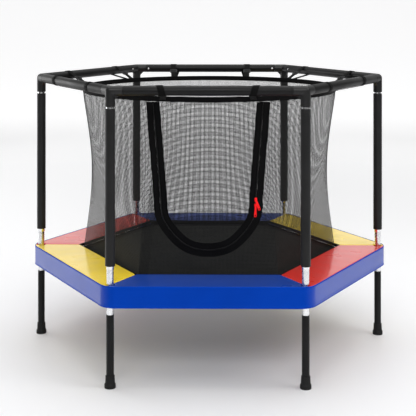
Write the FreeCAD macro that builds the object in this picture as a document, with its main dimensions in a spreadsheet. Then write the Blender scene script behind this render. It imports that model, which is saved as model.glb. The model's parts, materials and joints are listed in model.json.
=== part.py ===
import FreeCAD, Part
import math
import os
import re
import Sketcher
from FreeCAD import Placement, Rotation, Vector

# A six-sided children's trampoline with a net enclosure. Millimetres, +Z up, the floor at Z = 0,
# the origin under the middle of the mat, a corner post on +X and the zipped door facing -Y.

doc = FreeCAD.newDocument("Trampoline")
sheet = doc.addObject("Spreadsheet::Sheet", "Sizes")

# Driving sizes: name, value, what it is
drivingSizes = [
    ("sideLength", 700, "one side of the frame, post axis to post axis"),
    ("seatGap", 0.3, "clearance between pieces that rest on each other"),
    ("slipGap", 0.15, "clearance all round where one tube slides over another"),
    ("stubOuter", 25.4, "corner stub, outside diameter"),
    ("stubWall", 1.5, "corner stub, wall"),
    ("stubInsert", 70, "how far a stub reaches into a leg or an upright"),
    ("poleWall", 1.1, "leg and upright tube, wall"),
    ("socketWall", 1.4, "side socket of a corner joint, wall"),
    ("socketLength", 62, "side socket, from the post axis to its mouth"),
    ("baseRailOuter", 25, "lower frame tube, outside diameter"),
    ("baseRailWall", 1.2, "lower frame tube, wall"),
    ("baseRailStop", 20, "from the post axis to the end of a lower frame tube"),
    ("topRailOuter", 36.4, "upper frame tube, outside diameter"),
    ("topRailWall", 1.5, "upper frame tube, wall"),
    ("sleeveOuter", 36, "foam sleeve on an upright, outside diameter"),
    ("topRailAxis", 1063.5, "height of the upper frame tubes"),
    ("connectorArm", 46, "top connector, from the post axis to the mouth of an arm"),
    ("connectorSpigot", 36, "top connector, length of a spigot inside its rail"),
    ("connectorSkirt", 58, "top connector, from the rail axis down to its lower end"),
    ("connectorSocket", 40, "top connector, depth of the socket for the upright"),
    ("gussetReach", 22, "top connector, reach of a corner gusset past the tubes"),
    ("gussetThickness", 9, "top connector, thickness of a corner gusset"),
    ("screwDistance", 58, "from the post axis to a connector screw"),
    ("screwHead", 7, "connector screw, head diameter"),
    ("screwHeadHeight", 1.8, "connector screw, head height"),
    ("screwShank", 3.6, "connector screw, shank diameter"),
    ("screwLength", 9, "connector screw, length under the head"),
    ("sleeveTop", 999.5, "top of a foam sleeve"),
    ("sleeveLow", 436, "lower end of a foam sleeve"),
    ("uprightLow", 425, "lower end of an upright tube"),
    ("legTop", 262.4, "upper end of a leg tube"),
    ("footHeight", 45, "rubber foot, height"),
    ("footFloor", 6, "rubber foot, thickness under the leg"),
    ("footTopRadius", 16.4, "rubber foot, radius at its upper edge"),
    ("footWaistRadius", 17.6, "rubber foot, radius over its flare"),
    ("footFlareRadius", 20.6, "rubber foot, radius of the flare"),
    ("footWaistHeight", 18, "rubber foot, height of the waist"),
    ("footFlareHeight", 13, "rubber foot, height of the flare"),
    ("padTop", 370.5, "height of the pads"),
    ("padThickness", 12.5, "thickness of a pad"),
    ("padLap", 10, "how far a pad reaches in over the mat"),
    ("padSector", 59.95, "angle that one pad covers, in degrees"),
    ("padPostGap", 3, "clearance of a pad round an upright"),
    ("skirtOverhang", 31.8, "from the lower frame tubes' axis out to the skirt"),
    ("skirtCorner", 70, "radius of the skirt at a corner"),
    ("skirtThickness", 2, "thickness of the skirt"),
    ("skirtLow", 292, "lower edge of the skirt"),
    ("matInset", 132.2, "from the lower frame tubes' axis in to the edge of the mat"),
    ("matThickness", 1.2, "thickness of the mat"),
    ("borderWidth", 32, "width of the mat's webbing border"),
    ("borderThickness", 3, "thickness of the border"),
    ("ringBar", 3, "mat ring, thickness of the bar"),
    ("ringWidth", 26, "mat ring, width along the edge"),
    ("ringInside", 8, "mat ring, reach under the border"),
    ("ringOutside", 14, "mat ring, reach past the edge"),
    ("ringDrop", 1, "from the springs' axis down to the middle of a mat ring"),
    ("springOuter", 14, "spring, outside diameter"),
    ("springWire", 2.4, "spring, thickness of the wire"),
    ("springPitch", 120, "spacing of the springs along a side"),
    ("springsPerSide", 4, "springs on each side"),
    ("slotSize", 4.6, "hole for a spring hook in a lower frame tube"),
    ("hoopInset", 84.7, "from the upper frame tubes' axis in to the hoop"),
    ("hoopThickness", 2.6, "thickness of the hoop band"),
    ("hoopLow", 1013, "lower edge of the hoop band"),
    ("hoopHeight", 20.5, "height of the hoop band"),
    ("netInset", 12.5, "from the inner edge of the pads in to the net"),
    ("netThickness", 1, "thickness of the net"),
    ("bandThickness", 2.6, "thickness of the tape round the door"),
    ("waistCorner", 32, "how far the net draws in over a corner"),
    ("waistSide", 12, "how far the net draws in over a side"),
    ("doorTopHalf", 204, "half width of the door's zip line at the hoop"),
    ("doorTurnHalf", 176.4, "half width of the zip line where it starts to turn"),
    ("doorTurn", 638, "height where the zip line starts to turn"),
    ("doorLow", 456.5, "lowest point of the zip line"),
    ("doorRoundness", 2.3, "exponent of the curve under the door"),
    ("tapeHalf", 23, "width of the door tape on each side of the zip line"),
    ("chainHalf", 3, "half width of the zip chain"),
    ("chainRise", 1, "how far the zip chain stands out of its tape"),
    ("zipGap", 1, "gap between the zip chain and the tape beside it"),
    ("strapOffset", 168, "from the middle of a rail to a strap"),
    ("strapWidth", 25, "width of a strap"),
    ("strapThickness", 1.4, "thickness of a strap"),
    ("buckleWidth", 33, "strap buckle, width"),
    ("buckleHeight", 24, "strap buckle, height"),
    ("buckleWall", 1.6, "strap buckle, thickness of a wall"),
    ("buckleReach", 56, "from the hoop end of a strap to the middle of its buckle"),
    ("strapEndRadius", 1.6, "inside radius of a strap's turn at the hoop"),
    ("sliderLength", 16, "zip slider, length"),
    ("sliderWidth", 9.5, "zip slider, width"),
    ("sliderThickness", 2, "zip slider, thickness of its plate"),
    ("sliderHeight", 643, "height of the upper zip slider"),
    ("sliderSpacing", 22, "from the upper slider down to the lower one"),
    ("sliderNose", 6, "zip slider, width at its narrow lower end"),
    ("sliderShoulder", 5.6, "zip slider, from its middle up to its shoulders"),
    ("archOuter", 2.4, "slider arch, outside radius"),
    ("archInner", 1.2, "slider arch, inside radius"),
    ("archWidth", 1.6, "slider arch, width"),
    ("pinHeight", 1.3, "from the slider plate to the pull's axis"),
    ("pullLength", 42, "pull tab, from its axis to its end"),
    ("pullWidth", 9, "pull tab, width near its end"),
    ("pullNeck", 6.4, "pull tab, width at its axis"),
    ("pullFork", 4, "pull tab, width of the fork's gap"),
    ("pullThickness", 1.8, "pull tab, thickness"),
    ("pullPin", 0.7, "pull tab, radius of its cross bar"),
    ("pullHole", 2, "pull tab, radius of the hole near its end"),
    ("pullHoleEdge", 3, "pull tab, from the hole to the tab's end"),
    ("pullShoulder", 29.4, "pull tab, from its axis to where it is widest"),
    ("pullEar", 0.9, "pull tab, reach of the fork's ears above its axis"),
    ("forkDepth", 3.84, "pull tab, depth of the fork under its axis"),
    ("upperPullSkew", 24, "how far the upper pull hangs out of line, in degrees"),
]
for row, (alias, value, meaning) in enumerate(drivingSizes, 1):
    sheet.set(f"A{row}", meaning)
    sheet.set(f"B{row}", str(value))
    sheet.setAlias(f"B{row}", alias)
doc.recompute()

# Sizes that follow from the driving ones
derivedSizes = {
    "apothem": "sideLength * cos(30 deg)",
    "skirtDistance": "apothem + skirtOverhang",
    "matEdge": "apothem - matInset",
    "padOpening": "matEdge - padLap",
    "netDistance": "padOpening - netInset",
    "hoopRadius": "apothem - hoopInset",
    "poleOuter": "stubOuter + 2 * slipGap + 2 * poleWall",
    "socketOuter": "baseRailOuter + 2 * slipGap + 2 * socketWall",
    "baseAxis": "padTop - padThickness - seatGap - socketOuter / 2",
    "springAxis": "padTop - padThickness - seatGap - springOuter / 2",
    "borderLow": "springAxis - ringDrop + ringBar / 2 + seatGap",
    "matTop": "borderLow + borderThickness",
    "netLow": "matTop + seatGap",
    "netTop": "hoopLow - seatGap",
    "doorTop": "netTop - zipGap",
    "connectorLow": "topRailAxis - connectorSkirt",
    "uprightTop": "connectorLow + connectorSocket - seatGap",
    "spigotRadius": "topRailOuter / 2 - topRailWall - slipGap",
    "topRailLength": "sideLength - 2 * connectorArm - 2 * seatGap",
    "baseRailLength": "sideLength - 2 * baseRailStop",
    "ringOuterBar": "matEdge + ringOutside - ringBar",
    "springInner": "matEdge + ringOutside + seatGap * 4",
    "springOuterEnd": "apothem - baseRailOuter / 2 - seatGap * 4",
}
aliases = {alias for alias, value, meaning in drivingSizes}


def ex(text):
    """A sheet expression from plain size names, with the derived sizes written out."""

    def word(match):
        name = match.group()
        if name in derivedSizes:
            return "(" + ex(derivedSizes[name]) + ")"
        return "Sizes." + name if name in aliases else name

    return re.sub(r"[A-Za-z_]\w*", word, text)


def num(text):
    """The value of an expression in millimetres or degrees."""
    return float(sheet.evalExpression(ex(text)))


def bind(thing, **expressions):
    """Ties properties of an object to expressions; x, y and z stand for its place."""
    for name, text in expressions.items():
        target = f"Placement.Base.{name}" if name in ("x", "y", "z") else name
        thing.setExpression(target, ex(text))
    return thing


def add(kind, name, rotation=None, **expressions):
    """A new object of the document, turned and bound."""
    thing = doc.addObject(kind, name)
    if rotation is not None:
        thing.Placement = Placement(Vector(), rotation)
    return bind(thing, **expressions)


def fused(name, *pieces):
    whole = doc.addObject("Part::MultiFuse", name)
    whole.Shapes = list(pieces)
    return whole


def cut(name, base, tool):
    whole = doc.addObject("Part::Cut", name)
    whole.Base = base
    whole.Tool = tool
    return whole


nodes = {}


def node(label, thing):
    """Keeps a finished sub-part under the name of its node."""
    thing.Label = label
    nodes[label] = thing
    return thing


# The six corners and the six sides, counter-clockwise seen from above
cornerAngles = {"right": 0, "back_right": 60, "back_left": 120, "left": 180, "front_left": 240, "front_right": 300}
sideAngles = {"right_back": 30, "back": 90, "left_back": 150, "left_front": 210, "front": 270, "right_front": 330}
upward = Vector(0, 0, 1)


def cornerPlace(angle):
    """Expressions for the foot of a corner post."""
    return {"x": f"sideLength * cos({angle} deg)", "y": f"sideLength * sin({angle} deg)"}


def sidePlace(angle, distance="apothem"):
    """Expressions for the middle of a side."""
    return {"x": f"{distance} * cos({angle} deg)", "y": f"{distance} * sin({angle} deg)"}


def sideTurn(angle):
    """Local Z runs along the side, local X points to the middle of the trampoline, local Y is up."""
    radians = math.radians(angle)
    outward = Vector(math.cos(radians), math.sin(radians), 0)
    return Rotation(outward * -1, Vector(0, 0, 1), Vector(0, 0, 1).cross(outward), "ZXY")


def bound(sketch, constraint, text):
    """Adds a constraint whose value follows an expression."""
    index = sketch.addConstraint(constraint)
    sketch.setExpression(f"Constraints[{index}]", ex(text))


def outline(body, name, plane, points):
    """A closed sketch on one of a body's planes, its corners tied to (across, up) expressions."""
    sketch = body.newObject("Sketcher::SketchObject", name)
    sketch.AttachmentSupport = [([f for f in body.Origin.OriginFeatures if f.Role == plane][0], "")]
    sketch.MapMode = "FlatFace"
    corners = [Vector(num(across), num(up), 0) for across, up in points]
    count = len(corners)
    for i in range(count):
        sketch.addGeometry(Part.LineSegment(corners[i], corners[(i + 1) % count]), False)
    for i in range(count):
        sketch.addConstraint(Sketcher.Constraint("Coincident", i, 2, (i + 1) % count, 1))
    for i, (across, up) in enumerate(points):
        for kind, value, text, axis in (
            ("DistanceX", corners[i].x, across, -2),
            ("DistanceY", corners[i].y, up, -1),
        ):
            if abs(value) < 1e-6:
                sketch.addConstraint(Sketcher.Constraint("PointOnObject", i, 1, axis))
            elif value > 0:
                bound(sketch, Sketcher.Constraint(kind, -1, 1, i, 1, value), text)
            else:
                bound(sketch, Sketcher.Constraint(kind, i, 1, -1, 1, -value), f"-({text})")
    return sketch


# Round tubes are drawn with ten flats, their corners on the true circle, to keep the model light.
# A lying tube has a corner straight above and below its axis and a flat on either side
roundSides = 10
halfFlat = 180 / roundSides


def rod(name, radius, height, rotation=None, sides=roundSides, **place):
    """A straight rod along its own Z axis with flats for a round side."""
    made = add("Part::Prism", name, rotation, Circumradius=radius, Height=height, **place)
    made.Polygon = sides
    return made


def tube(name, outer, wall, height, rotation=None, **place):
    """A tube along its own Z axis, open at both ends."""
    return cut(name, rod(name + "Outside", f"{outer} / 2", height, rotation, **place),
               rod(name + "Bore", f"{outer} / 2 - {wall}", height, rotation, **place))


def stacked(name, rings, **place):
    """A solid through level rings, each a (radius, height) pair above its foot."""
    sections = []
    for i, (radius, height) in enumerate(rings):
        section = add("Part::RegularPolygon", f"{name}Ring{i}", Circumradius=radius,
                      **dict(place, z=place.get("z", "0") + " + " + height))
        section.Polygon = roundSides
        sections.append(section)
    loft = doc.addObject("Part::Loft", name)
    loft.Sections = sections
    loft.Solid = True
    loft.Ruled = True
    return loft


def paddedBody(name, profile, thickness, **place):
    """A body padded towards -Y from a closed profile of (x, z) expressions."""
    body = doc.addObject("PartDesign::Body", name)
    pad = body.newObject("PartDesign::Pad", name + "Pad")
    pad.Profile = outline(body, name + "Profile", "XZ_Plane", profile)
    bind(pad, Length=thickness)
    body.Tip = pad
    return bind(body, **place)


def polygon(sides, radius, start=0):
    """The corners of a regular polygon, the first turned away from the local X axis by an angle."""
    turns = [start + 360 * i / sides for i in range(sides)]
    return [(f"{radius} * cos({turn} deg)", f"{radius} * sin({turn} deg)") for turn in turns]


def uprightEdges(shape, radius):
    """Names of the edges that run straight up at a distance from the Z axis."""
    names = []
    for i, edge in enumerate(shape.Edges, 1):
        first, last = edge.Vertexes[0].Point, edge.Vertexes[-1].Point
        level = math.hypot(first.x - last.x, first.y - last.y) < 1e-6 and abs(first.z - last.z) > 1e-6
        if level and abs(math.hypot(first.x, first.y) - radius) < 1e-3:
            names.append(f"Edge{i}")
    return names


def hexBody(name, distance, opening, height, corner, openingCorner=None, **place):
    """A six-sided ring or wall with rounded corners; a sharp opening has no corner radius."""
    body = doc.addObject("PartDesign::Body", name)
    pad = body.newObject("PartDesign::Pad", name + "Pad")
    pad.Profile = outline(body, name + "Outside", "XY_Plane", polygon(6, f"{distance} / cos(30 deg)"))
    bind(pad, Length=height)
    pocket = body.newObject("PartDesign::Pocket", name + "Opening")
    pocket.Profile = outline(body, name + "Inside", "XY_Plane", polygon(6, f"{opening} / cos(30 deg)"))
    pocket.Reversed = True
    bind(pocket, Length=height)
    doc.recompute()
    rounded = [(name + "Round", pocket, distance, corner)]
    if openingCorner:
        rounded.append((name + "InnerRound", None, opening, openingCorner))
    for label, base, reach, radius in rounded:
        base = base or body.Tip
        fillet = body.newObject("PartDesign::Fillet", label)
        fillet.Base = (base, uprightEdges(base.Shape, num(f"{reach} / cos(30 deg)")))
        bind(fillet, Radius=radius)
        body.Tip = fillet
        doc.recompute()
    return bind(body, **place)


# Legs with their rubber feet, uprights with their foam sleeves
footRings = [("footFlareRadius", "0"), ("footFlareRadius", "footFlareHeight"),
             ("footWaistRadius", "footWaistHeight"), ("footTopRadius", "footHeight")]
footBore, legLow = "poleOuter / 2 + slipGap", "footFloor + seatGap"
feet, sleeves = [], []
for corner, angle in cornerAngles.items():
    place = cornerPlace(angle)
    node("leg_" + corner, tube("Leg_" + corner, "poleOuter", "poleWall", f"legTop - ({legLow})",
                               z=legLow, **place))
    node("upright_" + corner, tube("Upright_" + corner, "poleOuter", "poleWall", "uprightTop - uprightLow",
                                   z="uprightLow", **place))
    sleeves.append(tube("Sleeve_" + corner, "sleeveOuter", "((sleeveOuter - poleOuter) / 2 - slipGap)",
                        "sleeveTop - sleeveLow", z="sleeveLow", **place))
    feet.append(cut("Foot_" + corner, stacked("FootBody_" + corner, footRings, **place),
                    rod("FootBore_" + corner, footBore, "footHeight - footFloor", z="footFloor", **place)))


def group(label, pieces):
    """One node that holds alike pieces as separate solids."""
    bundle = doc.addObject("Part::Compound", label + "_group")
    bundle.Links = pieces
    return node(label, bundle)


group("rubber_feet", feet)
group("foam_sleeves", sleeves)

# Corner joints: a galvanised stub with two welded side sockets for the lower frame tubes
sidewards = Rotation(Vector(0, 1, 0), 90)
stubHeight = "uprightLow - legTop + 2 * stubInsert"
for corner, angle in cornerAngles.items():
    place = cornerPlace(angle)
    outside = [rod("Stub_" + corner, "stubOuter / 2", stubHeight, z="legTop - stubInsert", **place)]
    inside = [rod("StubBore_" + corner, "stubOuter / 2 - stubWall", stubHeight, z="legTop - stubInsert", **place)]
    for name, turn in (("Next", 120), ("Last", -120)):
        heading = angle + turn
        toward = Rotation(upward, heading).multiply(sidewards)
        outside.append(rod(f"Socket{name}_{corner}", "socketOuter / 2", "socketLength", toward,
                           z="baseAxis", **place))
        weld = "(stubOuter / 2 + socketWall)"
        inside.append(rod(f"SocketBore{name}_{corner}", "socketOuter / 2 - socketWall", "socketLength", toward,
                          z="baseAxis", x=place["x"] + f" + {weld} * cos({heading} deg)",
                          y=place["y"] + f" + {weld} * sin({heading} deg)"))
    solid = fused("JointBody_" + corner, *outside)
    hollow = fused("JointBores_" + corner, *inside)
    node("corner_joint_" + corner, cut("CornerJoint_" + corner, solid, hollow))

# Lower frame tubes, each with a row of holes for the spring hooks
for side, angle in sideAngles.items():
    body = doc.addObject("PartDesign::Body", "BaseRail_" + side)
    pad = body.newObject("PartDesign::Pad", "RailPad_" + side)
    pad.Profile = outline(body, "RailOutside_" + side, "XY_Plane",
                          polygon(roundSides, "baseRailOuter / 2", halfFlat))
    bore = body.newObject("PartDesign::Pocket", "RailBore_" + side)
    bore.Profile = outline(body, "RailInside_" + side, "XY_Plane",
                           polygon(roundSides, "(baseRailOuter / 2 - baseRailWall)", halfFlat))
    for feature in (pad, bore):
        feature.Midplane = True
        bind(feature, Length="baseRailLength")
    near, far = "springAxis - baseAxis - slotSize / 2", "springAxis - baseAxis + slotSize / 2"
    first = "-(springsPerSide - 1) / 2 * springPitch"
    square = [(near, f"{first} - slotSize / 2"), (far, f"{first} - slotSize / 2"),
              (far, f"{first} + slotSize / 2"), (near, f"{first} + slotSize / 2")]
    sketch = outline(body, "Slot_" + side, "YZ_Plane", square)
    pocket = body.newObject("PartDesign::Pocket", "SlotCut_" + side)
    pocket.Profile = sketch
    pocket.Reversed = True
    bind(pocket, Length="baseRailOuter / 2")
    slots = body.newObject("PartDesign::LinearPattern", "Slots_" + side)
    slots.Originals = [pocket]
    slots.Direction = (sketch, ["V_Axis"])
    bind(slots, Length="(springsPerSide - 1) * springPitch", Occurrences="springsPerSide")
    body.Tip = slots
    body.Placement = Placement(Vector(), sideTurn(angle))
    node("base_rail_" + side, bind(body, z="baseAxis", **sidePlace(angle)))


def screwPiece(name, angle, turn, sides, radius, start, end):
    """A rod on the line of a connector screw, between two distances from the rail's axis."""
    heading = angle + turn
    inward = heading + math.copysign(90, turn)
    place = cornerPlace(angle)
    for axis, wave in (("x", "cos"), ("y", "sin")):
        place[axis] += f" + screwDistance * {wave}({heading} deg) + ({start}) * {wave}({inward} deg)"
    return rod(name, radius, f"({end}) - ({start})", Rotation(upward, inward).multiply(sidewards), sides,
               z="topRailAxis", **place)


# The screws on the inner side of the upper frame and their holes; each corner has one screw towards
# the next corner and one towards the last, counter-clockwise
railFace = "topRailOuter / 2"
railFlat = f"{railFace} * cos({halfFlat} deg)"
screwHoles, screws = {}, []
for corner, angle in cornerAngles.items():
    for name, turn in (("Next", 120), ("Last", -120)):
        screwHoles[angle, turn] = screwPiece(f"ScrewHole{name}_{corner}", angle, turn, 6,
                                             "screwShank / 2 + slipGap", railFlat + " - screwLength - seatGap",
                                             railFlat + " + seatGap")
        head = screwPiece(f"ScrewHead{name}_{corner}", angle, turn, 6, "screwHead / 2",
                          railFlat, railFlat + " + screwHeadHeight")
        shank = screwPiece(f"ScrewShank{name}_{corner}", angle, turn, 6, "screwShank / 2",
                           railFlat + " - screwLength", railFlat)
        screws.append(fused(f"Screw{name}_{corner}", head, shank))
group("connector_screws", screws)

# Upper frame tubes, drilled on the inside near each end
for side, angle in sideAngles.items():
    heading = angle + 90
    place = sidePlace(angle)
    place["x"] += f" - topRailLength / 2 * cos({heading} deg)"
    place["y"] += f" - topRailLength / 2 * sin({heading} deg)"
    pipe = tube("TopRail_" + side, "topRailOuter", "topRailWall", "topRailLength",
                Rotation(upward, heading).multiply(sidewards), z="topRailAxis", **place)
    holes = fused("RailHoles_" + side, screwHoles[(angle - 30) % 360, 120],
                  screwHoles[(angle + 30) % 360, -120])
    node("top_rail_" + side, cut("DrilledRail_" + side, pipe, holes))

# Top connectors: three arms that meet in a domed corner, with gussets and spigots for the rails
domeTurns = (0, 45, 80)
domeRings = [(f"{railFace} * cos({turn} deg)", f"{railFace} * sin({turn} deg)") for turn in domeTurns]
for corner, angle in cornerAngles.items():
    place = cornerPlace(angle)
    outside = [rod("Drop_" + corner, railFace, "connectorSkirt", z="connectorLow", **place),
               stacked("Dome_" + corner, domeRings, z="topRailAxis", **place)]
    inside = [rod("DropSocket_" + corner, "poleOuter / 2 + slipGap", "connectorSocket", z="connectorLow", **place)]
    for name, turn in (("Next", 120), ("Last", -120)):
        heading = angle + turn
        level = Rotation(upward, heading)
        toward = level.multiply(sidewards)
        outside.append(rod(f"Arm{name}_{corner}", railFace, "connectorArm", toward, z="topRailAxis", **place))
        mouth = {"x": place["x"] + f" + connectorArm * cos({heading} deg)",
                 "y": place["y"] + f" + connectorArm * sin({heading} deg)", "z": "topRailAxis"}
        outside.append(rod(f"Spigot{name}_{corner}", "spigotRadius", "connectorSpigot", toward, **mouth))
        inside.append(screwHoles[angle, turn])
        # A gusset is a box turned by 45 degrees; its foot starts inside the tubes, half a radius deep
        root = "topRailOuter / 4"
        reach = f"(topRailOuter + gussetReach) / sqrt(2) - {root}"
        width = "sqrt(2) * (gussetReach + topRailOuter / 2)"
        inward, half = f"({root} - {width} / 2) / sqrt(2)", "gussetThickness / 2"
        outside.append(add("Part::Box", f"Gusset{name}_{corner}", level.multiply(Rotation(Vector(0, 1, 0), 45)),
                           Length=reach, Width="gussetThickness", Height=width,
                           x=place["x"] + f" + {half} * sin({heading} deg) + {inward} * cos({heading} deg)",
                           y=place["y"] + f" - {half} * cos({heading} deg) + {inward} * sin({heading} deg)",
                           z=f"topRailAxis - ({root} + {width} / 2) / sqrt(2)"))
    solid = fused("ConnectorBody_" + corner, *outside)
    hollow = fused("ConnectorBores_" + corner, *inside)
    node("top_connector_" + corner, cut("TopConnector_" + corner, solid, hollow))

# Pads: one rounded ring with a six-sided opening, shared out in six sectors, cut out round the posts
padRing = hexBody("PadRing", "(skirtDistance - skirtThickness - seatGap)", "padOpening", "padThickness",
                  "skirtCorner - skirtThickness - seatGap", z="padTop - padThickness")
postHoles = fused("PostHoles", *[
    rod("PostHole_" + corner, "poleOuter / 2 + padPostGap", "padThickness * 2",
        z="padTop - padThickness * 1.5", **cornerPlace(angle))
    for corner, angle in cornerAngles.items()
])
for side, angle in sideAngles.items():
    sector = add("Part::Cylinder", "PadSector_" + side, Rotation(upward, angle), Angle="padSector",
                 Radius="skirtDistance * 1.3", Height="padThickness * 2", z="padTop - padThickness * 1.5")
    sector.setExpression("Placement.Rotation.Angle", ex(f"{angle} - padSector / 2"))
    share = doc.addObject("Part::Common", "PadShare_" + side)
    share.Base, share.Tool = padRing, sector
    node("pad_" + side, cut("Pad_" + side, share, postHoles))

node("pad_skirt", hexBody("PadSkirt", "skirtDistance", "(skirtDistance - skirtThickness)", "padTop - skirtLow",
                          "skirtCorner", "skirtCorner - skirtThickness", z="skirtLow"))


def prism(name, sides, distance, height, low):
    """A prism with its faces at a distance from the Z axis and a corner on +X."""
    return rod(name, f"{distance} / cos({180 / sides} deg)", height, sides=sides, z=low)


# The mat, with a thicker webbing border
border = cut("MatBorder", prism("BorderOutside", 6, "matEdge", "borderThickness", "borderLow"),
             prism("BorderInside", 6, "(matEdge - borderWidth)", "borderThickness", "borderLow"))
sheetLow = "borderLow + (borderThickness - matThickness) / 2"
node("jumping_mat", fused("JumpingMat", border, prism("MatSheet", 6, "(matEdge - borderWidth / 2)",
                                                     "matThickness", sheetLow)))


def block(name, x, y, z, rotation=None):
    """A box from (low, high) expressions along each axis."""
    return add("Part::Box", name, rotation, Length=f"({x[1]}) - ({x[0]})", Width=f"({y[1]}) - ({y[0]})",
               Height=f"({z[1]}) - ({z[0]})", x=x[0], y=y[0], z=z[0])


# One mat ring and one spring, made on the +X side of the frame as if it were a side
ringZ = ("springAxis - ringDrop - ringBar / 2", "springAxis - ringDrop + ringBar / 2")
ring = cut(
    "Ring",
    block("RingOutside", ("matEdge - ringInside", "matEdge + ringOutside"),
          ("-ringWidth / 2", "ringWidth / 2"), ringZ),
    block("RingWindow", ("matEdge - ringInside + ringBar", "matEdge + ringOutside - ringBar"),
          ("-ringWidth / 2 + ringBar", "ringWidth / 2 - ringBar"), ringZ),
)
wire = ("-springWire / 2", "springWire / 2")
hookTop = "springAxis - ringDrop + ringBar / 2 + seatGap + springWire"
hookIn = "ringOuterBar - seatGap - springWire"
slotLow = "(springAxis - baseAxis - slotSize / 2)"
wallInside = (f"apothem - sqrt((baseRailOuter / 2 - baseRailWall)^2 - {slotLow}^2)"
              f" * cos({halfFlat} deg) + seatGap")
coil = rod("Coil", "springOuter / 2", "springOuterEnd - springInner", sidewards, 6, x="springInner", z="springAxis")
spring = fused(
    "Spring",
    coil,
    block("MatHook", (hookIn, "springInner + springWire"), wire, (f"{hookTop} - springWire", hookTop)),
    block("MatHookEnd", (hookIn, f"{hookIn} + springWire"), wire, ("springAxis - ringDrop - ringBar", hookTop)),
    block("RailHook", ("springOuterEnd - springWire", f"{wallInside} + springWire"), wire,
          ("springAxis - springWire / 2", "springAxis + springWire / 2")),
    block("RailHookEnd", (wallInside, f"{wallInside} + springWire"), wire,
          ("springAxis - springWire * 2", "springAxis + springWire / 2")),
)
doc.recompute()


def repeated(label, shape, offsets, angles=tuple(sideAngles.values())):
    """Copies of a shape made for a side at +X, shifted along each side, in one node."""
    shapes = []
    for angle in angles:
        for offset in offsets:
            copy = shape.copy()
            copy.translate(Vector(0, offset, 0))
            copy.rotate(Vector(), upward, angle)
            shapes.append(copy)
    feature = doc.addObject("Part::Feature", label + "_set")
    feature.Shape = Part.makeCompound(shapes)
    return node(label, feature)


springCount = int(num("springsPerSide"))
springOffsets = [(i - (springCount - 1) / 2) * num("springPitch") for i in range(springCount)]
repeated("mat_rings", ring.Shape, springOffsets)
repeated("mat_springs", spring.Shape, springOffsets)

# The hoop band that holds the top of the net, as a ring of flats
hoopSides = 36
node("net_hoop", cut("NetHoop",
                     prism("HoopOutside", hoopSides, "(hoopRadius + hoopThickness / 2)", "hoopHeight", "hoopLow"),
                     prism("HoopInside", hoopSides, "(hoopRadius - hoopThickness / 2)", "hoopHeight", "hoopLow")))


def netRadius(fromSide, level):
    """The net's distance from the Z axis: six-sided at the mat, round at the hoop, drawn in between."""
    straight = num("netDistance") / math.cos(math.radians(fromSide))
    cornerShare = (abs(fromSide) / 30) ** 2
    waist = num("waistSide") + (num("waistCorner") - num("waistSide")) * cornerShare
    return straight + (num("hoopRadius") - straight) * level - waist * (4 * level * (1 - level)) ** 1.4


netFacets = 6
netLevels = 4


def netPanel(angle, thickness):
    """A thin panel between two corners, its inner and outer faces made of flat triangles."""
    low, high = num("netLow"), num("netTop")
    edge = 30 - math.degrees(num("seatGap") / 2 / num("hoopRadius"))

    def point(side, facet, step):
        fromSide, level = edge * (2 * facet / netFacets - 1), step / netLevels
        radius = netRadius(fromSide, level) + side * thickness / 2
        turn = math.radians(angle + fromSide)
        return Vector(radius * math.cos(turn), radius * math.sin(turn), low + (high - low) * level)

    quads = [[(side, facet, step), (side, facet + 1, step), (side, facet + 1, step + 1), (side, facet, step + 1)]
             for side in (1, -1) for facet in range(netFacets) for step in range(netLevels)]
    quads += [[(1, facet, step), (1, facet + 1, step), (-1, facet + 1, step), (-1, facet, step)]
              for facet in range(netFacets) for step in (0, netLevels)]
    quads += [[(1, facet, step), (1, facet, step + 1), (-1, facet, step + 1), (-1, facet, step)]
              for facet in (0, netFacets) for step in range(netLevels)]
    faces = []
    for quad in quads:
        a, b, c, d = (point(*place) for place in quad)
        faces += [Part.Face(Part.makePolygon([a, b, c, a])), Part.Face(Part.makePolygon([a, c, d, a]))]
    shell = Part.makeShell(faces)
    shell.sewShape()
    solid = Part.makeSolid(shell)
    if solid.Volume < 0:
        solid.reverse()
    return solid


def doorLine(offset, steps=10, past=20):
    """The zip line moved outwards by an offset: straight arms above a rounded turn, as (x, z).

    The arms run a little past the top of the net.
    """
    top, turn, low = num("netTop") + past, num("doorTurn"), num("doorLow")
    topHalf, turnHalf, power = num("doorTopHalf"), num("doorTurnHalf"), 2 / num("doorRoundness")
    slope = (topHalf - turnHalf) / (num("netTop") - turn)
    points = [(topHalf + slope * past, top)]
    for i in range(steps + 1):
        swing = math.pi * i / steps
        across = math.copysign(abs(math.cos(swing)) ** power, math.cos(swing)) * turnHalf
        points.append((across, turn - (turn - low) * math.sin(swing) ** power))
    points.append((-topHalf - slope * past, top))
    moved = []
    for i, (x, z) in enumerate(points):
        (ax, az), (bx, bz) = points[max(i - 1, 0)], points[min(i + 1, len(points) - 1)]
        length = math.hypot(bx - ax, bz - az)
        moved.append((x - (bz - az) / length * offset, z + (bx - ax) / length * offset))
    return moved


beforeNet = num("hoopRadius") + num("tapeHalf")


def doorBlock(offset):
    """Everything inside the moved zip line, right through the front of the net."""
    points = [Vector(x, -beforeNet, z) for x, z in doorLine(offset)]
    face = Part.Face(Part.makePolygon(points + points[:1]))
    return face.extrude(Vector(0, beforeNet, 0))


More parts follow.
